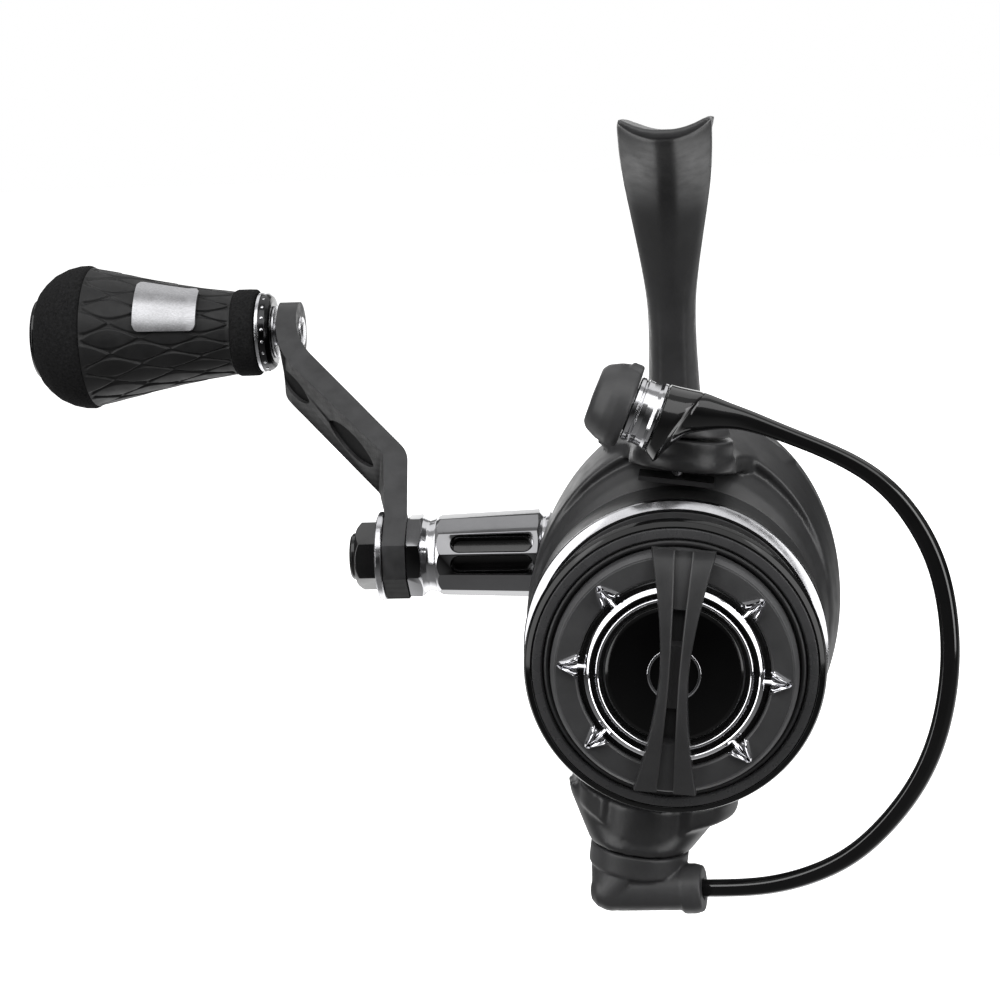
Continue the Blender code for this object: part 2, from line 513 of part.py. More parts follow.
# =====================================================================
# Bail: roller arm, wire, lower mount, roller on its pin
# =====================================================================
SLAB = [(-2.0, -5.6), (-10.4, -6.8), (-10.4, -14.5), (-13.4, -14.5), (-13.8, -6.0), (-9.9, 0.6), (-4.0, 5.2)]
bail_arm = rod("bail_arm", 6.3, 30.5, 33.7, BAIL, "black_body", "Z", n=N_MID)
add(bail_arm, prism("bail_arm_slab", SLAB, 30.6, 33.5, BAIL, None, coll=CUTTERS))
add(bail_arm, turned("bail_arm_cap", [(0.0, -2.9), (5.4, -2.9), (5.8, -3.6), (5.8, -5.2), (4.8, -7.2), (3.0, -7.9), (0.0, -8.0)],
                     ROLL, None, "X", n=N_MID, coll=CUTTERS))
cut(bail_arm, rod("bail_arm_way", 2.0, 29, 35, BAIL, None, "Z", n=16, coll=CUTTERS))
cut(bail_arm, rod("bail_arm_pin_way", 1.65, -7.0, 0.0, ROLL, None, "X", n=14, coll=CUTTERS))
turned("line_roller", [(2.6, -2.6), (4.5, -2.6), (4.6, -1.7), (4.2, -0.9), (4.1, 0.0), (4.2, 0.8), (4.75, 1.6), (4.75, 2.6), (2.6, 2.6)],
       ROLL, "silver", "X", n=N_MID)
ring("line_roller_bearing", 1.6, 2.45, -2.2, 2.2, ROLL, "steel", "X", n=16)
rod("line_roller_pin", 1.5, -6.7, 4.7, ROLL, "steel", "X", n=14)

# Wire: path points with half width across and half thickness.
WIRE = [((-0.8, -12.8, 35.2), 2.4, 2.0), ((1.6, -13.2, 36.41), 2.5, 1.8), ((4.47, -13.4, 36.22), 1.75, 1.3),
        ((7.36, -13.6, 35.98), 1.3, 1.3), ((11.09, -14.5, 34.73), 1.2, 1.3), ((15.72, -15.6, 33.61), 1.2, 1.3),
        ((21.68, -16.85, 31.84), 1.25, 1.3), ((26.06, -17.7, 29.81), 1.3, 1.3), ((28.96, -18.25, 27.5), 1.3, 1.3),
        ((33.08, -19.1, 22.67), 1.3, 1.3), ((35.73, -19.6, 17.61), 1.3, 1.3), ((37.86, -19.95, 9.68), 1.3, 1.3),
        ((38.38, -19.9, 4.19), 1.3, 1.3), ((38.29, -19.55, -1.5), 1.3, 1.3), ((37.38, -18.95, -7.42), 1.3, 1.3),
        ((35.21, -17.65, -13.8), 1.3, 1.3), ((31.32, -15.7, -20.71), 1.3, 1.3), ((28.06, -14.0, -24.79), 1.3, 1.3),
        ((22.81, -11.4, -28.91), 1.3, 1.3), ((18.91, -9.3, -31.22), 1.3, 1.3), ((14.88, -6.9, -33.0), 1.3, 1.3),
        ((10.99, -4.6, -34.4), 1.3, 1.3), ((8.02, -2.88, -35.48), 1.3, 1.3)]


def wire_rings(n=10):
    pts = [Vector(p) for p, _, _ in WIRE]
    out = []
    for i, (p, hw, ht) in enumerate(WIRE):
        d = (pts[min(i + 1, len(pts) - 1)] - pts[max(i - 1, 0)]).normalized()
        depth = Vector((0.35, 1.0, 0)).normalized()
        side = d.cross(depth).normalized()
        face = side.cross(d).normalized()
        out.append([Vector(p) + side * hw * math.cos(2 * math.pi * k / n) + face * ht * math.sin(2 * math.pi * k / n)
                    for k in range(n)])
    return out


wire = loft("bail_wire", wire_rings(), BAIL, "black_gloss")
add(wire, turned("wire_flange", [(0.0, 2.9), (4.8, 2.9), (4.8, 4.9), (3.9, 6.0), (0.0, 6.2)], ROLL, None, "X",
                 n=24, coll=CUTTERS))
cut(wire, rod("wire_pin_way", 1.65, 0.0, 5.0, ROLL, None, "X", n=14, coll=CUTTERS))

mount = turned("bail_mount", [(0.0, -30.5), (7.2, -30.5), (7.2, -35.0), (6.6, -38.0), (5.2, -39.8), (0.0, -39.8)], BAIL, "black_body",
               "Z", n=N_MID)
collar_dir = Vector((3.0, -1.75, 1.0)).normalized()
collar = rod("wire_collar", 3.2, -6.5, 1.0, BAIL, None, "Z", (9.6, -3.8, -34.95), 20, CUTTERS)
collar.rotation_euler = collar_dir.to_track_quat("Z", "Y").to_euler()
collar_way = rod("wire_collar_way", 1.65, -2.6, 3.0, BAIL, None, "Z", (9.6, -3.8, -34.95), 14, CUTTERS)
collar_way.rotation_euler = collar.rotation_euler
add(mount, collar)
cut(mount, turned("mount_way", [(0.0, -29.0), (2.0, -29.0), (2.0, -36.6), (3.7, -36.6), (3.7, -41.0), (0.0, -41.0)], BAIL, None,
                  "Z", n=18, coll=CUTTERS))
cut(mount, collar_way)
turned("bail_pivot_screw_upper", [(0.0, 24.4), (1.6, 24.4), (1.6, 34.0), (3.6, 34.0), (3.6, 35.0), (3.0, 35.5), (0.0, 35.5)],
       BAIL, "dark_metal", "Z", n=18)
turned("bail_pivot_screw_lower", [(0.0, -24.4), (1.6, -24.4), (1.6, -36.9), (3.3, -36.9), (3.3, -38.4), (0.0, -38.4)],
       BAIL, "dark_metal", "Z", n=18)

# =====================================================================
# Main shaft, slider and oscillation gear
# =====================================================================
rod("main_shaft", SHAFT_R, -0.3, 74.3, SHAFT, "steel", n=16)
slider = prism("oscillation_slider", box_outline(-3.6, 3.6, 67.7, 74.5), -8.4, 6.4, SHAFT, "black_body")
cut(slider, rod("slider_shaft_way", 2.05, 67, 75, SHAFT, None, n=16, coll=CUTTERS))
cut(slider, rod("slider_rod_way", 1.5, 67, 75, SHAFT, None, at=(0, 0, -6.4), n=14, coll=CUTTERS))
cut(slider, prism("slider_slot", box_outline(-4.5, -2.35, 69.5, 72.8), -4.2, 8.0, SHAFT, None, coll=CUTTERS))
turned("slider_screw", [(0.0, 74.6), (3.0, 74.6), (3.0, 75.8), (2.4, 76.3), (0.0, 76.3)], SHAFT, "steel", n=14)

osc = prism("oscillation_gear", gear_outline(OSC_T, 9.5, 8.35, osc_line + 180 + 7.5), -9.5, -6.6, OSC, "brass", "YZ")
add(osc, rod("osc_axle", 2.15, -11.8, -8.0, OSC, None, "X", n=16, coll=CUTTERS))
add(osc, rod("osc_pin", 1.3, -8.0, -3.95, OSC, None, "X", (0, STROKE / 2, 0), 14, CUTTERS))

# =====================================================================
# Spool with its drag stack
# =====================================================================
turned("spool", [(2.15, 8.6), (12.3, 8.6), (12.3, 1.9), (13.0, 1.5), (17.8, 1.5), (17.8, 0.4), (18.5, -0.1), (19.9, 0.2), (20.8, 0.8),
                 (LIP_R, 1.6), (20.6, 2.6), (15.4, 4.0), (14.6, 4.8), (14.6, 9.6), (15.4, 10.3), (20.2, 10.8), (20.2, 13.1),
                 (SKIRT_R, 13.1), (SKIRT_R, 24.6), (21.4, 25.0), (20.7, 25.0), (20.6, 13.8), (5.4, 12.4), (5.2, 13.6), (2.15, 13.6)],
       SPOOL, "black_body", n=N_BIG)
turned("spool_trim_ring", [(20.35, 10.9), (21.2, 11.1), (21.8, 12.0), (21.8, 12.95), (20.35, 12.95)], SPOOL, "silver", n=N_BIG)
for i, a in enumerate((7.6, 5.8)):
    ring("drag_washer_carbon_%d" % (i + 1), 3.3, 11.8, a, a + 0.8, SPOOL, "carbon", n=18)
ring("drag_washer_eared", 3.3, 12.05, 4.9, 5.7, SPOOL, "steel", n=18)
ring("drag_washer_keyed", 2.05, 11.6, 6.7, 7.5, SHAFT, "steel", n=18)
ring("drag_pressure_plate", 2.05, 11.2, 3.95, 4.8, SHAFT, "steel", n=18)

# =====================================================================
# Drag knob
# =====================================================================
knob = turned("drag_knob", [(0.0, -2.7), (9.2, -2.5), (9.6, -1.6), (13.4, -1.6), (13.7, -2.4), (16.3, -2.3), (KNOB_R, -1.5),
                            (KNOB_R, 0.9), (16.3, 0.9), (16.0, 0.1), (5.2, 0.1), (5.2, 2.6), (4.6, 2.6), (4.6, -0.8), (0.0, -0.8)],
              DRAG, "black_body", n=N_BIG)
BAR = [(-4.3, -16.6), (0, -17.0), (4.3, -16.6), (3.3, -9.5), (2.2, -3.0), (2.0, 0), (2.2, 3.0), (3.3, 9.5), (4.3, 16.6), (0, 17.0),
       (-4.3, 16.6), (-3.3, 9.5), (-2.2, 3.0), (-2.0, 0), (-2.2, -3.0), (-3.3, -9.5)]
bar = prism("grip_bar", BAR, -5.6, -1.2, DRAG, None, "XZ", coll=CUTTERS)
cut(bar, prism("bar_slope_top", [(-6.2, 20), (-6.2, 8.0), (-5.7, 8.0), (-3.2, 17.2), (-3.2, 20)], -8, 8, DRAG, None, "YZ", coll=CUTTERS))
cut(bar, prism("bar_slope_low", [(-6.2, -20), (-6.2, -8.0), (-5.7, -8.0), (-3.2, -17.2), (-3.2, -20)], -8, 8, DRAG, None, "YZ", coll=CUTTERS))
add(knob, bar)
for side, word in ((-1, "left"), (1, "right")):
    lim = math.degrees(math.asin(4.0 / 11.9))
    angs = [math.radians(-90 + lim + (180 - 2 * lim) * k / 12) for k in range(13)]
    arc = [(side * 12.2 * math.cos(a), 12.2 * math.sin(a)) for a in angs] + \
          [(side * 10.9 * math.cos(a), 10.9 * math.sin(a)) for a in reversed(angs)]
    trim = prism("drag_trim_" + word, arc, -3.1, -1.75, DRAG, "silver", "XZ")
    for k, deg in enumerate((-45, 0, 45)):
        a = math.radians(deg)
        spear = [(11.6, -0.9), (14.2, -0.75), (16.0, 0.0), (14.2, 0.75), (11.6, 0.9)]
        pts = [(side * (r * math.cos(a) - t * math.sin(a)), r * math.sin(a) + t * math.cos(a)) for r, t in spear]
        add(trim, prism("spear_%s_%d" % (word, k + 1), pts, -3.1, -2.6, DRAG, None, "XZ", coll=CUTTERS))
dnut = prism("drag_nut", hexagon(7.6), -0.5, 2.5, DRAG, "brass", "XZ")
cut(dnut, rod("drag_nut_bore", 2.05, -2, 4, DRAG, None, n=16, coll=CUTTERS))
coil("drag_spring", 7.2, 0.4, 2.4, 0.75, 3.2, DRAG, "steel")

bpy.context.view_layer.update()
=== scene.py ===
# Spinning reel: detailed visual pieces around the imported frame.
# Shapes are drawn in millimetres in the reel's design frame: origin at the
# centre of the spool lip, +X right seen from the front, +Y to the rear, +Z to
# the foot. The world origin is the foot seat.
import json
import math

import bmesh
import bpy
from mathutils import Matrix, Vector

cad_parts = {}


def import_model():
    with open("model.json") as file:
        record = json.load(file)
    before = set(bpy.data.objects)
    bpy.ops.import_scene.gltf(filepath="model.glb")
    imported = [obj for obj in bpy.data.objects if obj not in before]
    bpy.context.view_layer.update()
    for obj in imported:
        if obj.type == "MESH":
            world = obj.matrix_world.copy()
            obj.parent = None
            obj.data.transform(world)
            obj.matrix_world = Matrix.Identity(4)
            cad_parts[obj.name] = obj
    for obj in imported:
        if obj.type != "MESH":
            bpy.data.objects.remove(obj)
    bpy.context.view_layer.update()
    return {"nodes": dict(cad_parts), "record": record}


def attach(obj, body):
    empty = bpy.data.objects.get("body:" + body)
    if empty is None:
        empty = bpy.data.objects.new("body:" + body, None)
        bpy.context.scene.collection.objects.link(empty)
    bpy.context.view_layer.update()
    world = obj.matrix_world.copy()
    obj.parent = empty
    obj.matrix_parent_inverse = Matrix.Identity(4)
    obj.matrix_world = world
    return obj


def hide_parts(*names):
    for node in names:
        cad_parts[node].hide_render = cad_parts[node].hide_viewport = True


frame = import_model()

MM = 0.001


def T(x, y, z):
    return Matrix.Translation((x, y, z))


def R(deg, axis):
    return Matrix.Rotation(math.radians(deg), 4, axis)


ROOT = T(0, -47.0, -73.5)
CRANK = ROOT @ T(0, 54.0, 6.2) @ R(-44.7, "X")
KNOB = CRANK @ T(2.1, 0, 48.3)
ROTOR = ROOT @ R(7.6, "Y")
BAIL = ROTOR @ T(-1.9, 15.0, 0)
ROLL = BAIL @ T(-5.94, -12.5, 34.74) @ R(15.0, "Y")
DRAG = ROOT @ R(5.8, "Y")
SIDE = ROOT @ T(0, 54.0, 6.2)

# =====================================================================
# Materials
# =====================================================================


class Mat:
    """A node material that starts from a Principled shader."""

    def __init__(self, name, rough, metal=0.0):
        self.m = bpy.data.materials.new(name)
        self.m.use_nodes = True
        self.t = self.m.node_tree
        self.b = self.t.nodes["Principled BSDF"]
        self.b.inputs["Roughness"].default_value = rough
        self.b.inputs["Metallic"].default_value = metal
        self.co = self.t.nodes.new("ShaderNodeTexCoord")
        self.height = None

    def set(self, **kw):
        for k, v in kw.items():
            self.b.inputs[k.replace("_", " ")].default_value = v
        return self

    def link(self, a, b):
        self.t.links.new(a, b)

    def math(self, op, a, b=None, c=None):
        n = self.t.nodes.new("ShaderNodeMath")
        n.operation = op
        for i, v in enumerate((a, b, c)):
            if v is None:
                continue
            if isinstance(v, (int, float)):
                n.inputs[i].default_value = v
            else:
                self.link(v, n.inputs[i])
        return n.outputs[0]

    def noise(self, scale, detail=3.0, rough=0.6, vector=None, stretch=None):
        n = self.t.nodes.new("ShaderNodeTexNoise")
        n.inputs["Scale"].default_value = scale
        n.inputs["Detail"].default_value = detail
        n.inputs["Roughness"].default_value = rough
        v = vector or self.co.outputs["Object"]
        if stretch:
            mp = self.t.nodes.new("ShaderNodeMapping")
            mp.inputs["Scale"].default_value = stretch
            self.link(v, mp.inputs["Vector"])
            v = mp.outputs["Vector"]
        self.link(v, n.inputs["Vector"])
        return n.outputs["Fac"]

    def ramp(self, fac, stops):
        n = self.t.nodes.new("ShaderNodeValToRGB")
        e = n.color_ramp.elements
        while len(e) < len(stops):
            e.new(0.5)
        for i, (p, c) in enumerate(stops):
            e[i].position = p
            e[i].color = (*c, 1.0) if len(c) == 3 else c
        self.link(fac, n.inputs["Fac"])
        return n.outputs["Color"]

    def colour(self, fac, lo, hi, a=0.3, b=0.7):
        self.link(self.ramp(fac, [(a, lo), (b, hi)]), self.b.inputs["Base Color"])
        return self

    def roughness(self, fac, lo, hi):
        n = self.t.nodes.new("ShaderNodeMapRange")
        n.inputs["From Min"].default_value = 0.3
        n.inputs["From Max"].default_value = 0.7
        n.inputs["To Min"].default_value = lo
        n.inputs["To Max"].default_value = hi
        self.link(fac, n.inputs["Value"])
        self.link(n.outputs["Result"], self.b.inputs["Roughness"])
        return self

    def bump(self, fac, strength, distance):
        n = self.t.nodes.new("ShaderNodeBump")
        n.inputs["Strength"].default_value = strength
        n.inputs["Distance"].default_value = distance * MM
        self.link(fac, n.inputs["Height"])
        if self.height is not None:
            self.link(self.height, n.inputs["Normal"])
        self.height = n.outputs["Normal"]
        self.link(self.height, self.b.inputs["Normal"])
        return self

    def radius(self, centre, axis):
        """Distance from a line along the axis through centre, in metres."""
        s = self.t.nodes.new("ShaderNodeSeparateXYZ")
        self.link(self.co.outputs["Object"], s.inputs[0])
        p = []
        for i in range(3):
            if i == axis:
                continue
            d = self.math("SUBTRACT", s.outputs[i], centre[i])
            p.append(self.math("MULTIPLY", d, d))
        return self.math("SQRT", self.math("ADD", p[0], p[1]))

    def lathe(self, centre, axis, strength=0.25, pitch=0.12):
        """Fine turned rings about an axis."""
        r = self.radius(centre, axis)
        n = self.t.nodes.new("ShaderNodeTexNoise")
        n.noise_dimensions = "1D"
        n.inputs["Scale"].default_value = 1.0 / (pitch * MM)
        n.inputs["Detail"].default_value = 2.0
        self.link(r, n.inputs["W"])
        return self.bump(n.outputs["Fac"], strength, 0.02)

    def edge_wear(self, base_lo, base_hi, worn, fac):
        """Slightly brighter along convex edges."""
        g = self.t.nodes.new("ShaderNodeNewGeometry")
        edge = self.ramp(g.outputs["Pointiness"], [(0.53, (0, 0, 0)), (0.60, (1, 1, 1))])
        mix = self.t.nodes.new("ShaderNodeMix")
        mix.data_type = "RGBA"
        self.link(edge, mix.inputs[0])
        self.link(self.ramp(fac, [(0.3, base_lo), (0.7, base_hi)]), mix.inputs[6])
        mix.inputs[7].default_value = (*worn, 1.0)
        self.link(mix.outputs[2], self.b.inputs["Base Color"])
        return self


def g(v):
    return (v, v, v * 1.03)


def satin_paint(name, v, rough, grain=2600, strength=0.10):
    m = Mat(name, rough)
    m.colour(m.noise(140, 4), g(v * 0.82), g(v * 1.16))
    m.roughness(m.noise(420, 3), rough - 0.05, rough + 0.07)
    m.bump(m.noise(grain, 2), strength, 0.03)
    return m


M_BODY = satin_paint("satin_black_casting", 0.040, 0.40).m
M_ROTOR = satin_paint("satin_black_rotor", 0.033, 0.38, 3000, 0.08).m
M_PLASTIC = satin_paint("moulded_black_plastic", 0.046, 0.46, 1900, 0.16).m
M_BAR = satin_paint("drag_knob_soft_black", 0.034, 0.40, 2600, 0.12).m
M_RINGFACE = satin_paint("drag_knob_face", 0.044, 0.42, 2800, 0.10).m
M_BEVEL = satin_paint("drag_knob_bevel", 0.075, 0.38, 2800, 0.08).m


def gloss_black(name, v=0.006, rough=0.07, coat=0.35, spec=0.5):
    m = Mat(name, rough)
    m.colour(m.noise(90, 3), g(v * 0.8), g(v * 1.3))
    m.roughness(m.noise(260, 4), rough * 0.8, rough * 1.6)
    m.bump(m.noise(700, 2), 0.03, 0.03)
    m.set(Coat_Weight=coat, Coat_Roughness=0.04, Specular_IOR_Level=spec)
    return m.m


M_GLOSS = gloss_black("gloss_black_enamel")
M_DISC = gloss_black("gloss_black_disc", 0.002, 0.10, 0.20, 0.36)
M_LIP = gloss_black("gloss_black_lip", 0.004, 0.09, 0.10, 0.26)
M_GROOVE = gloss_black("gloss_black_groove", 0.004, 0.16)
M_WIRE = gloss_black("gloss_black_wire", 0.006, 0.09)
M_NUT = gloss_black("black_oxide_nut", 0.010, 0.16)


def metal(name, v, rough, centre=None, axis=0, rings=0.2, pitch=0.12):
    m = Mat(name, rough, 1.0)
    m.colour(m.noise(160, 4), g(v * 0.93), g(min(1.0, v * 1.05)))
    m.roughness(m.noise(500, 4), rough * 0.75, rough * 1.4)
    if centre is None:
        m.bump(m.noise(1400, 2), 0.03, 0.02)
    else:
        m.lathe([c * MM for c in centre], axis, rings, pitch)
    return m.m


def world(M, p=(0, 0, 0)):
    return tuple(M @ Vector(p))


M_TRIM = metal("polished_ring_metal", 0.38, 0.17, world(ROOT), 1, 0.10, 0.30)
M_BAND = satin_paint("satin_lip_band", 0.050, 0.27, 2800, 0.08).m
M_CHROME = metal("bright_chrome", 0.80, 0.06)
M_SHANK = metal("polished_nickel_shank", 0.25, 0.08)
M_NECK = metal("turned_nickel_neck", 0.68, 0.14, world(SIDE), 0, 0.08, 0.25)
M_WASHER = metal("steel_washer", 0.64, 0.22, world(SIDE), 0, 0.25, 0.12)
M_SPINDLE = metal("turned_steel_spindle", 0.70, 0.22, world(KNOB), 0, 0.2, 0.15)
M_ROLLER = metal("polished_roller_steel", 0.62, 0.15)
M_STEEL = metal("machined_steel", 0.55, 0.28)
M_COLLAR = metal("dark_anodised_collar", 0.05, 0.16, world(KNOB), 0, 0.12, 0.2)
M_CAPMETAL = metal("cover_cap_metal", 0.50, 0.24, world(SIDE), 0, 0.25, 0.15)

m = Mat("machined_brass", 0.3, 1.0)
m.colour(m.noise(160, 4), (0.55, 0.38, 0.13), (0.72, 0.53, 0.22))
m.roughness(m.noise(500, 4), 0.22, 0.38)
m.bump(m.noise(1400, 2), 0.04, 0.02)
M_BRASS = m.m

m = Mat("closed_cell_foam", 0.95)
cells = m.t.nodes.new("ShaderNodeTexVoronoi")
cells.inputs["Scale"].default_value = 3600
m.link(m.co.outputs["Object"], cells.inputs["Vector"])
m.colour(m.noise(2200, 4), g(0.006), g(0.019))
m.bump(cells.outputs["Distance"], 0.55, 0.12)
m.bump(m.noise(1500, 3), 0.35, 0.10)
m.set(Specular_IOR_Level=0.15)
M_FOAM = m.m

m = Mat("moulded_rubber", 0.5)
m.colour(m.noise(220, 4), g(0.009), g(0.017))
m.roughness(m.noise(500, 3), 0.42, 0.58)
m.bump(m.noise(3200, 2), 0.18, 0.03)
m.set(Specular_IOR_Level=0.34)
M_RUBBER = m.m

m = Mat("grey_arm_edge", 0.42, 0.35)
m.colour(m.noise(300, 4), g(0.042), g(0.062))
m.roughness(m.noise(600, 3), 0.36, 0.5)
m.bump(m.noise(2600, 2), 0.12, 0.03)
M_ARM = m.m


def weave(name, pitch, lo, hi):
    """A two-over-two twill across the arm's broad face."""
    m = Mat(name, 0.32)
    s = m.t.nodes.new("ShaderNodeSeparateXYZ")
    m.link(m.co.outputs["Object"], s.inputs[0])
    a = m.math("MULTIPLY", m.math("ADD", s.outputs[1], s.outputs[2]), 1.0 / (pitch * MM))
    b = m.math("MULTIPLY", m.math("SUBTRACT", s.outputs[2], s.outputs[1]), 1.0 / (pitch * MM))
    u, v = m.math("FLOOR", a), m.math("FLOOR", b)
    over = m.math("LESS_THAN", m.math("FLOORED_MODULO", m.math("ADD", u, v), 4.0), 1.5)
    fa = m.math("ABSOLUTE", m.math("SINE", m.math("MULTIPLY", a, math.pi)))
    fb = m.math("ABSOLUTE", m.math("SINE", m.math("MULTIPLY", b, math.pi)))
    mix = m.math("ADD", m.math("MULTIPLY", over, fa), m.math("MULTIPLY", m.math("SUBTRACT", 1.0, over), fb))
    shade = m.math("ADD", m.math("MULTIPLY", over, 0.5), m.math("MULTIPLY", mix, 0.4))
    m.link(m.ramp(shade, [(0.0, g(lo)), (1.0, g(hi))]), m.b.inputs["Base Color"])
    m.roughness(m.noise(500, 3), 0.34, 0.48)
    m.bump(mix, 0.15, 0.05)
    m.set(Coat_Weight=0.04, Coat_Roughness=0.2, Specular_IOR_Level=0.2)
    return m.m


M_CARBON = weave("woven_composite_face", 0.55, 0.008, 0.026)
m = Mat("dull_black_recess", 0.7)
m.colour(m.noise(300, 4), g(0.006), g(0.012))
m.bump(m.noise(2400, 2), 0.15, 0.03)
m.set(Specular_IOR_Level=0.12)
M_SUNK = m.m
M_CARBON_WASHER = weave("woven_friction_washer", 0.8, 0.012, 0.04)

# =====================================================================
# Mesh helpers
# =====================================================================
SCENE = bpy.context.scene.collection


def make(name, verts, faces, M=ROOT, material=None, sharp=32.0):
    me = bpy.data.meshes.new(name)
    me.from_pydata([tuple((M @ Vector(v)) * MM) for v in verts], [], faces)
    bm = bmesh.new()
    bm.from_mesh(me)
    bmesh.ops.remove_doubles(bm, verts=bm.verts, dist=1e-7)
    bmesh.ops.recalc_face_normals(bm, faces=bm.faces)
    bm.to_mesh(me)
    bm.free()
    o = bpy.data.objects.new(name, me)
    SCENE.objects.link(o)
    if material:
        me.materials.append(material)
    shade(o, sharp)
    return o


def shade(o, sharp=32.0):
    """Smooth faces with sharp edges above an angle."""
    me = o.data
    bm = bmesh.new()
    bm.from_mesh(me)
    lim = math.radians(sharp)
    for f in bm.faces:
        f.smooth = True
    for e in bm.edges:
        e.smooth = not (len(e.link_faces) == 2 and e.calc_face_angle(0.0) > lim)
    bm.to_mesh(me)
    bm.free()
    return o


def bake(o):
    """Turns the modifiers into the mesh."""
    dg = bpy.context.evaluated_depsgraph_get()
    dg.update()
    me = bpy.data.meshes.new_from_object(o.evaluated_get(dg))
    o.modifiers.clear()
    old = o.data
    o.data = me
    me.name = old.name
    bpy.data.meshes.remove(old)
    return o


def drop(*objs):
    for o in objs:
        me = o.data
        bpy.data.objects.remove(o, do_unlink=True)
        bpy.data.meshes.remove(me)


def boolean(o, cutters, op="DIFFERENCE", solver="EXACT", transfer=False):
    for c in cutters:
        b = o.modifiers.new("bool", "BOOLEAN")
        b.operation = op
        b.solver = solver
        b.object = c
        if transfer:
            b.material_mode = "TRANSFER"
    bake(o)
    return o


def bevel(o, width, segments=3, angle=30.0):
    b = o.modifiers.new("bevel", "BEVEL")
    b.width = width * MM
    b.segments = segments
    b.limit_method = "ANGLE"
    b.angle_limit = math.radians(angle)
    b.harden_normals = False
    bake(o)
    return shade(o, 38)


def hulled(name, pts, M, material, edge=0.07):
    """Convex solid around a set of points."""
    bm = bmesh.new()
    for q in pts:
        bm.verts.new((M @ Vector(q)) * MM)
    hull = bmesh.ops.convex_hull(bm, input=bm.verts[:])
    bmesh.ops.delete(bm, geom=list({v for v in hull["geom_interior"] + hull["geom_unused"] if isinstance(v, bmesh.types.BMVert)}), context="VERTS")
    bmesh.ops.recalc_face_normals(bm, faces=bm.faces[:])
    me = bpy.data.meshes.new(name)
    bm.to_mesh(me)
    bm.free()
    me.materials.append(material)
    o = bpy.data.objects.new(name, me)
    SCENE.objects.link(o)
    return bevel(o, edge, 2, 20) if edge else o


def merged(name, objs, material):
    """One object out of several overlapping shells."""
    bm = bmesh.new()
    for o in objs:
        bm.from_mesh(o.data)
    me = bpy.data.meshes.new(name)
    bm.to_mesh(me)
    bm.free()
    drop(*objs)
    o = bpy.data.objects.new(name, me)
    SCENE.objects.link(o)
    me.materials.clear()
    me.materials.append(material)
    return o


def cast(name, shells, material, voxel=0.35, rounds=6, factor=0.5):
    """Fuses overlapping shells into one cast-looking body with soft corners."""
    o = merged(name, shells, material)
    r = o.modifiers.new("fuse", "REMESH")
    r.mode = "VOXEL"
    r.voxel_size = voxel * MM
    s = o.modifiers.new("soft", "SMOOTH")
    s.iterations = rounds
    s.factor = factor
    bake(o)
    o.data.materials.clear()
    o.data.materials.append(material)
    for p in o.data.polygons:
        p.use_smooth = True
        p.material_index = 0
    return o


def fillet(pts, r, seg=4, closed=False):
    """Rounds the corners of a flat polyline."""
    out = []
    n = len(pts)
    for i, p in enumerate(pts):
        if not closed and i in (0, n - 1):
            out.append(tuple(p))
            continue
        a, b, c = Vector(pts[i - 1]), Vector(p), Vector(pts[(i + 1) % n])
        u, w = a - b, c - b
        lu, lw = u.length, w.length
        if lu < 1e-6 or lw < 1e-6:
            continue
        ang = u.angle(w)
        if ang > math.radians(172):
            out.append(tuple(p))
            continue
        d = min(r / math.tan(ang / 2), 0.42 * lu, 0.42 * lw)
        s, e = b + u * (d / lu), b + w * (d / lw)
        for k in range(seg + 1):
            t = k / seg
            out.append(tuple((1 - t) ** 2 * s + 2 * t * (1 - t) * b + t * t * e))
    return out


def smooth_line(pts, per=8, closed=False):
    """Catmull-Rom points through a polyline of any dimension."""
    P = [Vector(p) for p in pts]
    n = len(P)
    out = []
    for i in range(n if closed else n - 1):
        if closed:
            p0, p1, p2, p3 = P[i - 1], P[i], P[(i + 1) % n], P[(i + 2) % n]
        else:
            p1, p2 = P[i], P[i + 1]
            p0 = P[i - 1] if i else p1 * 2 - p2
            p3 = P[i + 2] if i + 2 < n else p2 * 2 - p1
        for k in range(per):
            t = k / per
            out.append(0.5 * ((2 * p1) + (p2 - p0) * t + (2 * p0 - 5 * p1 + 4 * p2 - p3) * t * t
                              + (3 * p1 - p0 - 3 * p2 + p3) * t ** 3))
    if not closed:
        out.append(P[-1])
    return [tuple(p) for p in out]


def revolve(name, prof, M, axis, n, material, shape=None, sharp=32.0):
    """Profile of (radius, along) turned about an axis; shape(theta, r, a) may change r."""
    on = [i for i, p in enumerate(prof) if p[0] < 1e-6]
    verts, rows = [], []
    for r, a in prof:
        row = []
        if r < 1e-6:
            row = [len(verts)] * n
            verts.append({"X": (a, 0, 0), "Y": (0, a, 0), "Z": (0, 0, a)}[axis])
        else:
            for k in range(n):
                t = 2 * math.pi * k / n
                q = shape(t, r, a) if shape else r
                c, s = q * math.cos(t), q * math.sin(t)
                row.append(len(verts))
                verts.append({"X": (a, c, s), "Y": (c, a, s), "Z": (c, s, a)}[axis])
        rows.append(row)
    faces = []
    pairs = list(zip(rows, rows[1:]))
    if not on:
        pairs.append((rows[-1], rows[0]))
    for A, B in pairs:
        for k in range(n):
            q = [A[k], A[(k + 1) % n], B[(k + 1) % n], B[k]]
            q = [v for i, v in enumerate(q) if v not in q[:i]]
            if len(q) > 2:
                faces.append(q)
    return make(name, verts, faces, M, material, sharp)


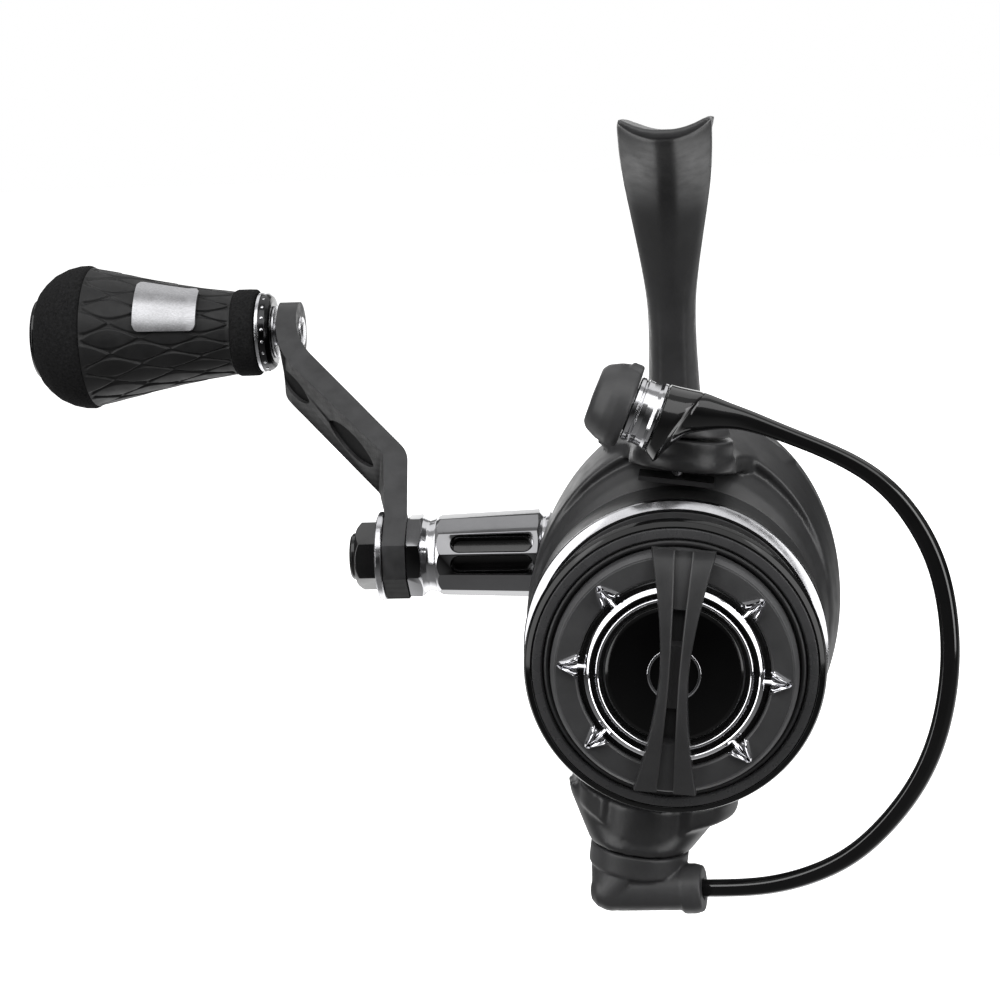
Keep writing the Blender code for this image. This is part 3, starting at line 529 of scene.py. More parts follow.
def loft(name, rings, M, material=None, closed=False, sharp=32.0):
    verts = [p for r in rings for p in r]
    m_ = len(rings[0])
    faces = []
    k = len(rings)
    for i in range(k if closed else k - 1):
        a, b = i * m_, ((i + 1) % k) * m_
        for j in range(m_):
            faces.append((a + j, a + (j + 1) % m_, b + (j + 1) % m_, b + j))
    if not closed:
        faces.append(tuple(range(m_)))
        faces.append(tuple(range((k - 1) * m_, k * m_)))
    return make(name, verts, faces, M, material, sharp)


def dense(rings, per=4):
    """More rings, by a smooth curve through matching points."""
    cols = [smooth_line([r[j] for r in rings], per) for j in range(len(rings[0]))]
    return [[c[i] for c in cols] for i in range(len(cols[0]))]


def prism(name, outline, a0, a1, M, material=None, plane="XY", sharp=32.0):
    third = {"XY": 2, "XZ": 1, "YZ": 0}[plane]

    def at(p, a):
        c = [p[0], p[1]]
        c.insert(third, a)
        return tuple(c)
    n = len(outline)
    verts = [at(p, a0) for p in outline] + [at(p, a1) for p in outline]
    faces = [tuple(range(n)), tuple(range(n, 2 * n))]
    faces += [(i, (i + 1) % n, n + (i + 1) % n, n + i) for i in range(n)]
    return make(name, verts, faces, M, material, sharp)


def polygon(sides, flats, turn):
    r = flats / 2 / math.cos(math.pi / sides)
    return [(r * math.cos(2 * math.pi * i / sides + math.radians(turn)),
             r * math.sin(2 * math.pi * i / sides + math.radians(turn))) for i in range(sides)]


def inset(poly, d):
    out = []
    n = len(poly)
    for i in range(n):
        a, b, c = Vector(poly[i - 1]), Vector(poly[i]), Vector(poly[(i + 1) % n])
        n1 = Vector((-(b - a).y, (b - a).x)).normalized()
        n2 = Vector((-(c - b).y, (c - b).x)).normalized()
        k = (n1 + n2).normalized()
        out.append(tuple(b + k * (d / max(0.5, k.dot(n1)))))
    return out


def put(o, body, slot, *nodes):
    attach(o, body)
    if nodes:
        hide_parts(*nodes)
    return o


def turned(name, prof, M, axis, material, body, slot, nodes=(), n=96, r=0.25, shape=None, seg=4):
    on = any(p[0] < 1e-6 for p in prof)
    return put(revolve(name, fillet(prof, r, seg, closed=not on), M, axis, n, material, shape), body, slot, *nodes)


# =====================================================================
# Frame: gearbox, nose, stem and foot
# =====================================================================
GEARBOX = [(44.0, -19.4), (54, -18.9), (62, -16.6), (71, -13.2), (78, -9), (82, -4), (83.2, 2), (81.4, 8.6),
           (76.5, 15), (69.5, 20), (61.5, 23.4), (54, 24.4), (44.0, 20.2)]
BACK = smooth_line(GEARBOX, 8)


def outline_ring(x, d, line):
    return [(x, y, z) for y, z in inset(line, d)]


box_shell = loft("gearbox_shell", [outline_ring(x, d, BACK) for x, d in
                                   ((-12.5, 3.6), (-12.1, 2.4), (-11.4, 1.5), (-10.2, 0.7), (-8.4, 0.2), (-6.8, 0.0), (9.2, 0.0))], ROOT)
nose = revolve("nose_shell", fillet([(0, 33.0), (20.4, 33.0), (20.4, 46.5), (0, 46.5)], 0.8), ROOT, "Y", 96, None)
boss = revolve("boss_shell", fillet([(0, -19.4), (8.2, -19.4), (8.2, -13.2), (9.4, -11.4), (9.4, -9.0), (0, -9.0)], 0.7), SIDE, "X", 72, None)

SADDLE_R, FLAT = 11.6, 1.3


def saddle(x):
    x = max(abs(x), FLAT)
    return math.sqrt(SADDLE_R ** 2 - FLAT ** 2) - math.sqrt(SADDLE_R ** 2 - x * x)


# Half section of the stem: a front facet, bevels to the sides and a soft back.
SECTION = [(0.0, -1.0), (0.30, -1.0), (0.52, -0.985), (0.80, -0.80), (0.96, -0.45), (1.0, 0.0), (0.95, 0.5), (0.72, 0.86), (0.36, 1.0), (0.0, 1.0)]
TOP_SECTION = [(0.0, -1.0), (0.34, -1.0), (0.66, -1.0), (0.94, -0.985), (1.0, -0.86), (1.0, 0.0), (1.0, 0.86), (0.93, 0.985), (0.5, 1.0), (0.0, 1.0)]
STEM = [(12, 60.5, 6.4, 12.0, 0), (24, 58.6, 5.0, 11.2, 0), (30, 57.0, 4.3, 10.4, 0), (36, 55.2, 3.95, 9.7, 0),
        (42, 53.4, 3.75, 9.2, 0.15), (47, 52.0, 3.85, 9.1, 0.4), (52, 50.6, 4.4, 9.5, 0.7), (57, 49.4, 5.15, 10.6, 0.9),
        (62, 48.4, 5.95, 12.9, 1.0), (66, 47.6, 6.5, 17.2, 1.0), (69.4, 47.0, 6.75, 24.0, 1.0), (71.6, 47.0, 6.8, 28.4, 1.0),
        (73.25, 47.0, 6.8, 29.5, 1.0)]


def stem_ring(z, yc, hx, hy, square):
    mixed = [(a[0] + (b[0] - a[0]) * square, a[1] + (b[1] - a[1]) * square) for a, b in zip(SECTION, TOP_SECTION)]
    half = smooth_line(mixed, 4)
    pts = half + [(-x, y) for x, y in reversed(half[1:-1])]
    follow = min(1.0, max(0.0, (z - 68.0) / 5.0))
    out = []
    for x, y in pts:
        # The two sides of the front fall away from a narrow middle strip.
        d = 0.62 * square * hx * max(0.0, abs(x) - 0.2) if y < 0 else 0.0
        lid = 73.0 + saddle(hx * x) - 0.8 * max(0.0, (abs(x) - 0.86) / 0.14) ** 2
        out.append((hx * x, yc + hy * y + d, min(z + follow * saddle(hx * x), lid)))
    return out


stem_rings = dense([stem_ring(*s) for s in STEM], 5)
stem = loft("stem_shell", stem_rings + [[(x * 0.9, 47 + (y - 47) * 0.97, 72.4) for x, y, z in stem_rings[-1]]], ROOT)


def foot_ring(y, hx, t):
    xs = [hx * (-1 + k / 12) for k in range(25)]
    top = [(x, y, 73.5 + saddle(x) - 0.8 * max(0.0, (abs(x) / hx - 0.86) / 0.14) ** 2) for x in xs]
    low = [(x * 0.97, y, 73.5 + saddle(x) - t * (1 - 0.35 * (x / hx) ** 4)) for x in reversed(xs)]
    return top + low


foot = loft("foot_shell", dense([foot_ring(17.05, 6.75, 1.3), foot_ring(18.2, 6.8, 1.5), foot_ring(28, 6.9, 2.0), foot_ring(38, 7.2, 2.9),
                                 foot_ring(47, 7.25, 3.2), foot_ring(56, 7.2, 2.9), foot_ring(66, 6.7, 2.0), foot_ring(75.8, 6.0, 1.3),
                                 foot_ring(76.95, 5.4, 1.1)], 4), ROOT)

pocket = prism("cut_gear", inset([(46.0, -17.8)] + GEARBOX[1:-1] + [(46.0, 21.0)], 1.9), -10.4, 10.0, ROOT, None, "YZ")
front_pocket = prism("cut_front", [(37.4, -8.8), (49, -8.8), (49, 20.6), (45.6, 19.0), (43.4, 17.0), (40.2, 13.8), (37.4, 7.4)], -4.6, 7.6, ROOT, None, "YZ")
seat = revolve("cut_seat", [(0, 32.0), (6.65, 32.0), (6.65, 37.25), (4.3, 37.25), (4.3, 39.0), (0, 39.0)], ROOT, "Y", 48, None)
crank_way = revolve("cut_crank", [(0, -20.0), (6.15, -20.0), (6.15, -9.5), (0, -9.5)], SIDE, "X", 48, None)
boolean(box_shell, [pocket, front_pocket, crank_way])
boolean(nose, [pocket, front_pocket, seat])
boolean(boss, [pocket, crank_way])
boolean(stem, [pocket])
drop(pocket, front_pocket, seat, crank_way)
housing = cast("frame_casting", [box_shell, nose, boss, stem, foot], M_BODY, 0.4, 5)
put(housing, "frame", "body_black", "body_housing")

# Side cover with its cap and screws.
SCREWS = [(50.0, -14.6), (74.0, -8.2), (69.4, 15.6)]
COVER = smooth_line([(46.8, -19.2)] + GEARBOX[1:-1] + [(46.8, 21.2)], 8)
cover = loft("cover_shell", [outline_ring(x, d, COVER) for x, d in
                             ((9.4, 0.0), (10.4, 0.1), (11.2, 0.5), (12.0, 1.1), (12.7, 2.0), (13.2, 3.0), (13.6, 4.2))], ROOT)
cover_boss = revolve("cover_boss", fillet([(0, 10.0), (7.1, 10.0), (7.1, 15.4), (0, 15.4)], 0.4), SIDE, "X", 72, None)
under = prism("cut_cover", inset([(46.8, -19.2)] + GEARBOX[1:-1] + [(46.8, 21.2)], 5.0), 8.8, 11.7, ROOT, None, "YZ")
cover_seat = revolve("cut_cover_seat", [(0, 9.0), (5.65, 9.0), (5.65, 13.7), (0, 13.7)], SIDE, "X", 48, None)
holes = [revolve("cut_hole", [(0, 4.8), (1.0, 4.8), (1.0, 12.2), (2.1, 12.2), (2.1, 15.0), (0, 15.0)], ROOT @ T(0, y, z), "X", 32, None)
         for y, z in SCREWS]
boolean(cover, [under, cover_seat, *holes])
boolean(cover_boss, [under, cover_seat])
drop(under, cover_seat, *holes)
cover = cast("side_cover_shell", [cover, cover_boss], M_BODY, 0.35, 4)
put(cover, "frame", "body_black", "side_cover")
turned("cover_cap_disc", [(0, 15.6), (7.1, 15.6), (6.9, 16.5), (5.6, 17.0), (5.2, 16.7), (4.4, 16.7), (4.0, 17.2), (0, 17.4)], SIDE, "X",
       M_CAPMETAL, "frame", "silver", ["cover_cap"], 72, 0.2)
for i, (y, z) in enumerate(SCREWS):
    s = revolve("screw", fillet([(0, 5.2), (0.85, 5.2), (0.85, 12.4), (1.9, 12.4), (1.9, 13.3), (1.5, 13.8), (0, 13.8)], 0.12), ROOT @ T(0, y, z), "X", 40, M_STEEL)
    c1 = prism("cut_cross", [(-0.25, -1.1), (0.25, -1.1), (0.25, 1.1), (-0.25, 1.1)], 13.0, 14.2, ROOT @ T(0, y, z), None, "YZ")
    c2 = prism("cut_cross", [(-1.1, -0.25), (1.1, -0.25), (1.1, 0.25), (-1.1, 0.25)], 13.0, 14.2, ROOT @ T(0, y, z), None, "YZ")
    boolean(s, [c1, c2])
    drop(c1, c2)
    s.name = "cover_screw_head_%d" % (i + 1)
    put(shade(s), "frame", "steel", "cover_screw_%d" % (i + 1))

# =====================================================================
# Rotor with its two arms
# =====================================================================


def oval(y, rx, rz, n=144):
    k = min(1.0, max(0.0, (y - 26.0) / 14.0))
    c = 1.0 * k * k * (3 - 2 * k)
    return [(c + rx * math.cos(2 * math.pi * i / n), y, rz * math.sin(2 * math.pi * i / n)) for i in range(n)]


SKIN = [(18.5, 3.45, 3.45), (18.5, 16.6, 16.6), (20.2, 19.5, 19.5), (25.5, 19.5, 19.5), (26.2, 21.0, 21.4), (27.6, 22.0, 23.4),
        (29.2, 22.5, 24.9), (30.4, 22.75, 25.7), (30.6, 23.1, 26.4), (30.0, 23.5, 27.2), (29.9, 23.8, 27.7), (30.8, 24.1, 28.3), (34.0, 24.5, 29.4), (38.6, 24.9, 30.6),
        (42.0, 25.0, 31.0), (43.4, 24.95, 30.95), (44.0, 24.5, 30.5),
        (44.0, 23.3, 28.9), (36.0, 22.2, 26.4), (31.8, 21.0, 22.9), (28.4, 17.7, 17.7), (21.6, 17.6, 17.6),
        (21.6, 6.2, 6.2), (26.2, 6.2, 6.2), (26.2, 3.45, 3.45)]
skin = loft("rotor_skin", [oval(y, rx - (0.9 if rx > 23.05 else 0.0), rz) for y, rx, rz in SKIN], ROTOR, closed=True)
ARM_LOW = [(39.0, -0.4, 13.2, 29.4, 5.0, 25.0, 4.6), (33.0, -0.4, 12.9, 28.8, 4.4, 23.6, 3.6), (28.0, -0.3, 12.6, 28.5, 4.0, 22.9, 2.4),
           (23.0, -0.2, 12.3, 28.4, 3.8, 22.8, 1.7), (17.0, -0.3, 11.8, 28.4, 3.5, 22.9, 1.1), (12.5, -0.8, 10.0, 28.2, 3.0, 22.95, 0.8),
           (9.6, -1.6, 6.4, 27.8, 1.6, 23.2, 0.5)]
ARM_HIGH = [(39.0, 0.2, 15.4, 30.6, 5.4, 27.0, 2.6), (34.5, -0.3, 13.2, 29.8, 4.6, 26.4, 2.2), (31.0, -0.8, 10.4, 29.2, 3.2, 25.8, 1.8),
            (28.0, -1.3, 8.6, 28.7, 2.2, 25.4, 1.4), (23.0, -1.8, 7.9, 28.2, 1.4, 25.4, 1.0), (15.0, -1.9, 7.5, 27.9, 0.9, 26.2, 0.6),
            (9.6, -1.9, 4.8, 27.5, 0.4, 26.4, 0.3)]


def arm_ring(y, xc, w, zo, do, zi, di, side):
    ts = [-1 + k / 8 for k in range(17)]
    return [(xc + w * t, y, side * (zo - do * t * t)) for t in ts] + [(xc + w * t, y, side * (zi - di * t * t)) for t in reversed(ts)]


shells = [skin]
for side in (1, -1):
    arm = loft("rotor_arm", dense([arm_ring(*s, side) for s in (ARM_HIGH if side > 0 else ARM_LOW)], 5), ROTOR)
    foot_z, top_z = (26.2, 30.6) if side == 1 else (22.95, 30.2)
    hub = revolve("rotor_hub", fillet([(0, side * foot_z), (7.4, side * foot_z), (7.4, side * 27.9), (6.95, side * 28.3), (6.95, side * top_z), (0, side * top_z)], 0.3),
                  BAIL, "Z", 72, None)
    way = revolve("cut_way", [(0, side * 21.0), (1.8, side * 21.0), (1.8, side * 31.0), (0, side * 31.0)], BAIL, "Z", 32, None)
    cuts = [way]
    if side == 1:
        cuts.append(prism("cut_recess", [(-8.3, 18.4), (3.3, 18.4), (3.3, 25.4), (-8.3, 25.4)], 20.4, 23.7, ROTOR))
        cuts.append(prism("cut_spring", [(-6.3, 19.2), (1.3, 19.2), (1.3, 24.7), (-6.3, 24.7)], 23.5, 25.6, ROTOR))
    boolean(arm, cuts)
    boolean(hub, cuts)
    shells += [arm, hub]
    if side == -1:
        # The lower arm widens from the pivot towards the cup.
        PV = (ROTOR.inverted() @ BAIL).translation
        flare = []
        for k in range(36):
            c, d = math.cos(math.radians(10 * k)), math.sin(math.radians(10 * k))
            flare += [(PV.x + 7.5 * c, PV.y + 7.5 * d, -30.2), (PV.x + 7.9 * c, PV.y + 7.7 * d, -29.2),
                      (PV.x + 0.4 + 11.6 * c, PV.y + 4.0 + 9.5 * d, -24.6), (PV.x + 0.5 + 12.2 * c, PV.y + 5.0 + 10.0 * d, -23.2)]
        web = hulled("rotor_web", flare, ROTOR, None, 0.0)
        boolean(web, cuts)
        shells.append(web)
    drop(*cuts)
rotor = cast("rotor_casting", shells, M_ROTOR, 0.35, 6)
put(rotor, "rotor", "body_black", "rotor")

# =====================================================================
# Bail: roller arm, roller, wire and lower mount
# =====================================================================
SLAB = [(-2.0, -5.6), (-9.4, -6.6), (-9.8, -12.0), (-12.0, -12.5), (-12.8, -6.0), (-9.6, 0.4), (-4.0, 5.2)]
disc = revolve("bail_disc", fillet([(0, 30.95), (6.2, 30.95), (6.35, 31.35), (5.9, 32.3), (4.4, 33.1), (0, 33.2)], 0.3), BAIL, "Z", 72, None)
slab = prism("bail_slab", fillet(SLAB, 1.0, 4, True), 31.3, 33.2, BAIL)
cap = revolve("bail_cap", fillet([(0, -2.15), (5.4, -2.15), (5.7, -2.55), (5.75, -4.0), (5.4, -5.3), (4.6, -6.9), (3.8, -7.5), (0, -7.6)], 0.7), ROLL @ T(0, 0, -0.15), "X", 96, None)
nib = revolve("bail_nib", fillet([(0, -4.0), (1.1, -4.0), (1.1, -2.2), (0, -2.2)], 0.3), ROLL @ T(0, -1.0, 5.0), "X", 32, None)
pin_way = revolve("cut_pin", [(0, -6.7), (1.65, -6.7), (1.65, 0), (0, 0)], ROLL, "X", 32, None)
pivot_way = revolve("cut_pivot", [(0, 29), (2.0, 29), (2.0, 35), (0, 35)], BAIL, "Z", 32, None)
boolean(disc, [pivot_way])
boolean(slab, [pivot_way])
boolean(cap, [pin_way])
drop(pin_way, pivot_way)
bail_arm = cast("bail_arm_moulding", [disc, slab, cap, nib], M_PLASTIC, 0.22, 5)
put(bail_arm, "bail", "body_black", "bail_arm")

turned("line_roller_drum", [(2.6, -2.05), (4.3, -2.05), (4.5, -1.9), (4.5, -1.35), (4.36, -1.2), (4.36, -1.0), (4.55, -0.85), (4.48, -0.1), (4.6, 0.8),
                            (4.8, 1.25), (4.8, 1.65), (4.6, 1.75), (2.6, 1.75)], ROLL, "X", M_ROLLER, "line_roller", "silver", ["line_roller"], 96, 0.08)

# The wire's root is a collar beside the roller that is scooped down into the wire.
WIRE = [((7.36, -13.6, 35.6), 1.45, 1.4), ((11.09, -14.5, 34.73), 1.15, 1.25), ((15.72, -15.6, 33.61), 1.15, 1.25),
        ((21.68, -16.85, 31.84), 1.2, 1.3), ((26.06, -17.7, 29.81), 1.25, 1.3), ((28.96, -18.25, 27.5), 1.3, 1.3),
        ((33.08, -19.1, 22.67), 1.3, 1.3), ((35.73, -19.6, 17.61), 1.3, 1.3), ((37.86, -19.95, 9.68), 1.3, 1.3),
        ((38.38, -19.9, 4.19), 1.3, 1.3), ((38.29, -19.55, -1.5), 1.3, 1.3), ((37.38, -18.95, -7.42), 1.3, 1.3),
        ((35.21, -17.65, -13.8), 1.3, 1.3), ((31.32, -15.7, -20.71), 1.3, 1.3), ((28.06, -14.0, -24.79), 1.3, 1.3),
        ((22.81, -11.4, -28.91), 1.3, 1.3), ((18.91, -9.3, -31.22), 1.3, 1.3), ((14.88, -6.9, -33.0), 1.3, 1.3),
        ((10.99, -4.6, -34.4), 1.3, 1.3), ((8.02, -2.88, -35.48), 1.3, 1.3)]
N_WIRE = 40


def eased(pts, passes, first, last):
    """Points averaged with their neighbours, from index first to last."""
    P = list(pts)
    for _ in range(passes):
        P = [P[i] if i < first or i > last else P[i] * 0.5 + (P[i - 1] + P[i + 1]) * 0.25 for i in range(len(P))]
    return P


def wire_rings(per=6):
    line = smooth_line([(*p, w, t) for p, w, t in WIRE], per)
    pts = [Vector(q[:3]) for q in line]
    # Even spacing first, then the bends are spread out; the second pass gives back what the first took off.
    along = [0.0]
    for a, b in zip(pts, pts[1:]):
        along.append(along[-1] + (b - a).length)
    even, j = [], 0
    for i in range(len(pts)):
        at = along[-1] * i / (len(pts) - 1)
        while j < len(pts) - 2 and along[j + 1] < at:
            j += 1
        even.append(pts[j].lerp(pts[j + 1], min(1.0, (at - along[j]) / max(1e-9, along[j + 1] - along[j]))))
    soft = eased(even, 40, 1, len(even) - 2)
    rest = eased([a - b for a, b in zip(even, soft)], 40, 1, len(even) - 2)
    pts = [a + b for a, b in zip(soft, rest)]
    out = []
    for i, q in enumerate(line):
        d = (pts[min(i + 1, len(pts) - 1)] - pts[max(i - 1, 0)]).normalized()
        depth = Vector((0.35, 1.0, 0)).normalized()
        side = d.cross(depth).normalized()
        face = side.cross(d).normalized()
        ring = []
        for k in range(N_WIRE):
            t = 2 * math.pi * k / N_WIRE
            c, s = math.cos(t), math.sin(t)
            # A narrow flat runs along the front of the wire.
            s = max(s, -0.84)
            ring.append(tuple(pts[i] + side * q[3] * c + face * q[4] * s))
        out.append(ring)
    return out


TO_BAIL = BAIL.inverted() @ ROLL


def root_ring(x, lean, zc, h, yc, d, curl=0.0):
    ring = []
    for k in range(N_WIRE):
        t = 2 * math.pi * k / N_WIRE
        ring.append(tuple(TO_BAIL @ Vector((x + lean * math.cos(t) + curl * math.cos(t) ** 2, yc + d * math.sin(t), zc + h * math.cos(t)))))
    return ring


root = [root_ring(1.85, 0.0, -0.05, 4.5, 0.0, 4.5), root_ring(1.88, 0.0, -0.05, 4.8, 0.0, 4.8), root_ring(2.05, 0.0, -0.05, 5.0, 0.0, 5.0),
        root_ring(2.6, 0.35, -0.1, 5.15, 0.0, 5.0, 0.2), root_ring(3.5, 1.1, -0.15, 5.5, 0.0, 5.0, 0.6), root_ring(3.9, 1.42, -0.18, 5.68, 0.0, 4.95, 0.78)]
scoop = [root_ring(4.15, 1.45, -0.15, 5.62, 0.0, 4.85, 0.8), root_ring(4.5, 1.4, 0.1, 5.35, -0.05, 4.3, 0.7), root_ring(5.1, 1.1, 0.9, 4.65, -0.2, 3.4, 0.4),
         root_ring(6.6, 0.5, 2.4, 3.2, -0.5, 2.5, 0.1), root_ring(8.6, 0.2, 3.25, 2.4, -0.7, 2.05), root_ring(10.8, 0.0, 3.75, 1.8, -0.9, 1.7)]
tail = wire_rings()
neck = dense(scoop + [tail[0]], 4)[:-1] + tail
cols = [eased([Vector(r[j]) for r in neck], 14, 14, 34) for j in range(N_WIRE)]
neck = [[tuple(c[i]) for c in cols] for i in range(len(neck))]
wire = loft("bail_wire_body", root + neck, BAIL, M_WIRE, sharp=33)
put(wire, "bail", "gloss_black", "bail_wire")

mount_disc = revolve("mount_disc", fillet([(0, -30.5), (7.25, -30.5), (7.25, -33.6), (6.8, -33.9), (5.6, -34.9), (4.7, -36.6), (4.0, -38.2), (0, -38.7)], 0.3), BAIL, "Z", 72, None)
# A round arm runs across the front of the disc to the collar that holds the wire.
A_LEFT, A_RIGHT = Vector((-3.3, -3.6, -37.0)), Vector((9.2, -3.5, -35.1))
arm_dir = (A_RIGHT - A_LEFT).normalized()
AM = BAIL @ T(*A_RIGHT) @ arm_dir.to_track_quat("Z", "Y").to_matrix().to_4x4()
barrel = revolve("mount_barrel", fillet([(0, -15.9), (1.2, -15.7), (2.2, -14.9), (2.8, -13.6), (3.0, -11.5), (3.1, -3.2), (3.1, -1.2), (0, -1.2)], 0.5), AM, "Z", 56, None)
collar_dir = Vector((3.0, -0.5, 0.62)).normalized()
CM = BAIL @ T(9.2, -3.5, -35.1) @ collar_dir.to_track_quat("Z", "Y").to_matrix().to_4x4()
collar = revolve("mount_collar", fillet([(0, -2.6), (3.0, -2.6), (3.65, -2.1), (3.65, -0.4), (3.3, 0.75), (0, 0.75)], 0.25), CM, "Z", 56, None)
collar_way = revolve("cut_collar", [(0, -1.6), (1.5, -1.6), (1.5, 3.0), (0, 3.0)], CM, "Z", 32, None)
heel = [(6.9 * math.cos(math.radians(a)), 6.9 * math.sin(math.radians(a)), -33.7) for a in range(100, 261, 8)]
heel += [tuple(A_LEFT + 3.0 * Vector((math.cos(math.radians(a)) * math.cos(math.radians(b)), math.sin(math.radians(a)) * math.cos(math.radians(b)), math.sin(math.radians(b)))))
         for a in range(0, 360, 15) for b in range(-90, 91, 15)]
heel = hulled("mount_heel", heel, BAIL, None, 0.0)
mount_way = revolve("cut_mount", [(0, -29.0), (2.0, -29.0), (2.0, -36.6), (3.7, -36.6), (3.7, -41.0), (0, -41.0)], BAIL, "Z", 40, None)
notch = prism("cut_notch", [(2.6, -34.9), (6.9, -34.1), (6.9, -33.2), (2.6, -34.0)], -9.0, -3.6, BAIL, None, "XZ")
boolean(mount_disc, [mount_way, notch])
boolean(barrel, [mount_way, collar_way])
boolean(heel, [mount_way])
boolean(collar, [collar_way])
drop(mount_way, collar_way, notch)
bail_mount = cast("bail_mount_moulding", [mount_disc, barrel, collar, heel], M_PLASTIC, 0.2, 4)
put(bail_mount, "bail", "body_black", "bail_mount")


def screw_drive(o, M, size, a0, a1):
    c = prism("cut_drive", polygon(6, size, 0), a0, a1, M)
    boolean(o, [c])
    drop(c)
    return shade(o)


s = revolve("pivot_screw_head_upper", fillet([(0, 28.6), (1.6, 28.6), (1.6, 33.0), (3.0, 33.0), (3.0, 33.3), (2.7, 33.5), (0, 33.5)], 0.15), BAIL, "Z", 56, M_NUT)
put(screw_drive(s, BAIL, 2.0, 32.9, 35.0), "rotor", "dark_chrome", "bail_pivot_screw_upper")
s = revolve("pivot_screw_head_lower", fillet([(0, -24.4), (1.6, -24.4), (1.6, -36.9), (3.3, -36.9), (3.3, -38.4), (0, -38.4)], 0.15), BAIL, "Z", 56, M_NUT)
put(screw_drive(s, BAIL, 2.4, -39.0, -37.6), "rotor", "dark_chrome", "bail_pivot_screw_lower")

# =====================================================================
# Spool
# =====================================================================
turned("spool_body", [(2.15, 8.6), (12.3, 8.6), (12.3, 1.9), (13.0, 1.5), (17.45, 1.5), (17.45, 0.5), (17.75, 0.25), (18.1, 0.4), (18.3, 0.9), (19.8, 1.1),
                      (20.6, 1.6), (20.6, 2.6), (15.4, 4.0), (14.6, 4.8), (14.6, 9.6), (15.4, 10.3), (20.2, 10.8), (20.2, 13.1),
                      (21.7, 13.1), (21.7, 24.6), (21.4, 25.0), (20.7, 25.0), (20.6, 13.8), (5.4, 12.4), (5.2, 13.6), (2.15, 13.6)],
       ROOT, "Y", M_ROTOR, "spool", "body_black", ["spool"], 144, 0.2)
turned("spool_lip_band", [(18.35, 1.0), (18.35, 0.25), (18.55, -0.05), (19.7, 0.12), (19.8, 0.4), (19.8, 1.0)], ROOT, "Y", M_BAND, "spool", "silver", (), 144, 0.12)
turned("spool_lip_gloss", [(19.85, 1.6), (19.85, 0.3), (20.0, 0.22), (20.7, 0.62), (21.0, 1.4), (20.9, 2.1), (20.5, 2.55), (20.2, 2.5)], ROOT, "Y", M_LIP, "spool", "gloss_black", (), 144, 0.25)
turned("skirt_ring", [(20.35, 10.9), (20.6, 10.85), (21.7, 11.45), (21.85, 11.7), (21.85, 12.65), (21.7, 12.8), (20.35, 12.8)], ROOT, "Y", M_TRIM, "spool", "silver", ["spool_trim_ring"], 144, 0.15)

# =====================================================================
# Drag knob
# =====================================================================
turned("drag_knob_body", [(0, -1.9), (9.6, -1.8), (9.9, -1.5), (13.2, -1.5), (13.3, -2.35), (13.6, -2.6), (16.25, -2.35), (16.4, -2.2), (16.4, 0.9), (16.0, 0.1), (5.2, 0.1), (5.2, 2.6),
                          (4.6, 2.6), (4.6, -0.8), (0, -0.8)], DRAG, "Y", M_RINGFACE, "drag_knob", "body_black", ["drag_knob"], 144, 0.15)
turned("drag_knob_bevel", [(16.3, -2.3), (16.55, -2.25), (17.0, -1.75), (17.1, -1.4), (17.1, 0.9), (16.3, 0.9)], DRAG, "Y", M_BEVEL, "drag_knob", "body_black", (), 144, 0.12)
turned("drag_recess", [(9.8, -1.55), (13.25, -1.55), (13.25, -1.85), (12.9, -1.75), (9.8, -1.75)], DRAG, "Y", M_GROOVE, "drag_knob", "gloss_black", (), 144, 0.05)
turned("drag_disc", [(0, -2.75), (5.0, -2.68), (9.0, -2.45), (9.55, -2.25), (9.55, -1.7), (0, -1.7)], DRAG, "Y", M_DISC, "drag_knob", "gloss_black", (), 144, 0.15)
turned("centre_ring", [(3.25, -2.6), (3.3, -2.95), (3.5, -3.0), (3.7, -2.95), (3.75, -2.6)], DRAG, "Y", M_CHROME, "drag_knob", "silver", (), 96, 0.06)


def bar_half(v):
    """Half widths of the bar's channel and of its outer edge at a distance v from the centre."""
    a = min(1.0, abs(v) / 16.6)
    outer = 1.95 + (4.3 - 1.95) * a ** 1.7
    return 0.62 + (1.15 - 0.62) * a ** 1.5, outer


def bar_top(v):
    a = min(1.0, abs(v) / 16.6)
    return -5.55 + 2.45 * a ** 3.2


def bar_rings(side):
    out = []
    for k in range(57):
        v = -16.8 + 34.2 * k / 56
        i, o = bar_half(v)
        top = bar_top(v)
        e = 0.22
        low = -1.7
        w = o - i
        ring = [(i, low), (i, top + 0.3), (i + 0.05, top + 0.12), (i + 0.16, top + 0.03), (i + 0.3, top), (i + 0.5 * w, top - 0.04), (o - 0.34, top), (o - 0.14, top + 0.06),
                (o - 0.03, top + 0.2), (o, top + 0.38), (o + 0.12, low)]
        out.append([(side * x, y, v) for x, y in ring])
    return out


rails = [loft("bar_rail", bar_rings(side), DRAG, M_BAR, sharp=50) for side in (-1, 1)]


def channel_rings():
    out = []
    for k in range(67):
        v = -16.6 + 33.8 * k / 66
        i, _ = bar_half(v)
        a = abs(v)
        deep = 0.75 if a > 9.2 else (2.2 if a > 4.6 else 1.15)
        top = max(bar_top(v) + deep, -5.4)
        w = i + 0.25
        out.append([(-w, -1.7, v), (-w, top, v), (-w * 0.4, top - 0.06, v), (w * 0.4, top - 0.06, v), (w, top, v), (w, -1.7, v)])
    return out


chan = loft("bar_channel", channel_rings(), DRAG, M_BAR, sharp=25)
bar = merged("drag_grip_bar", rails + [chan], M_BAR)
put(shade(bar, 30), "drag_knob", "body_black")

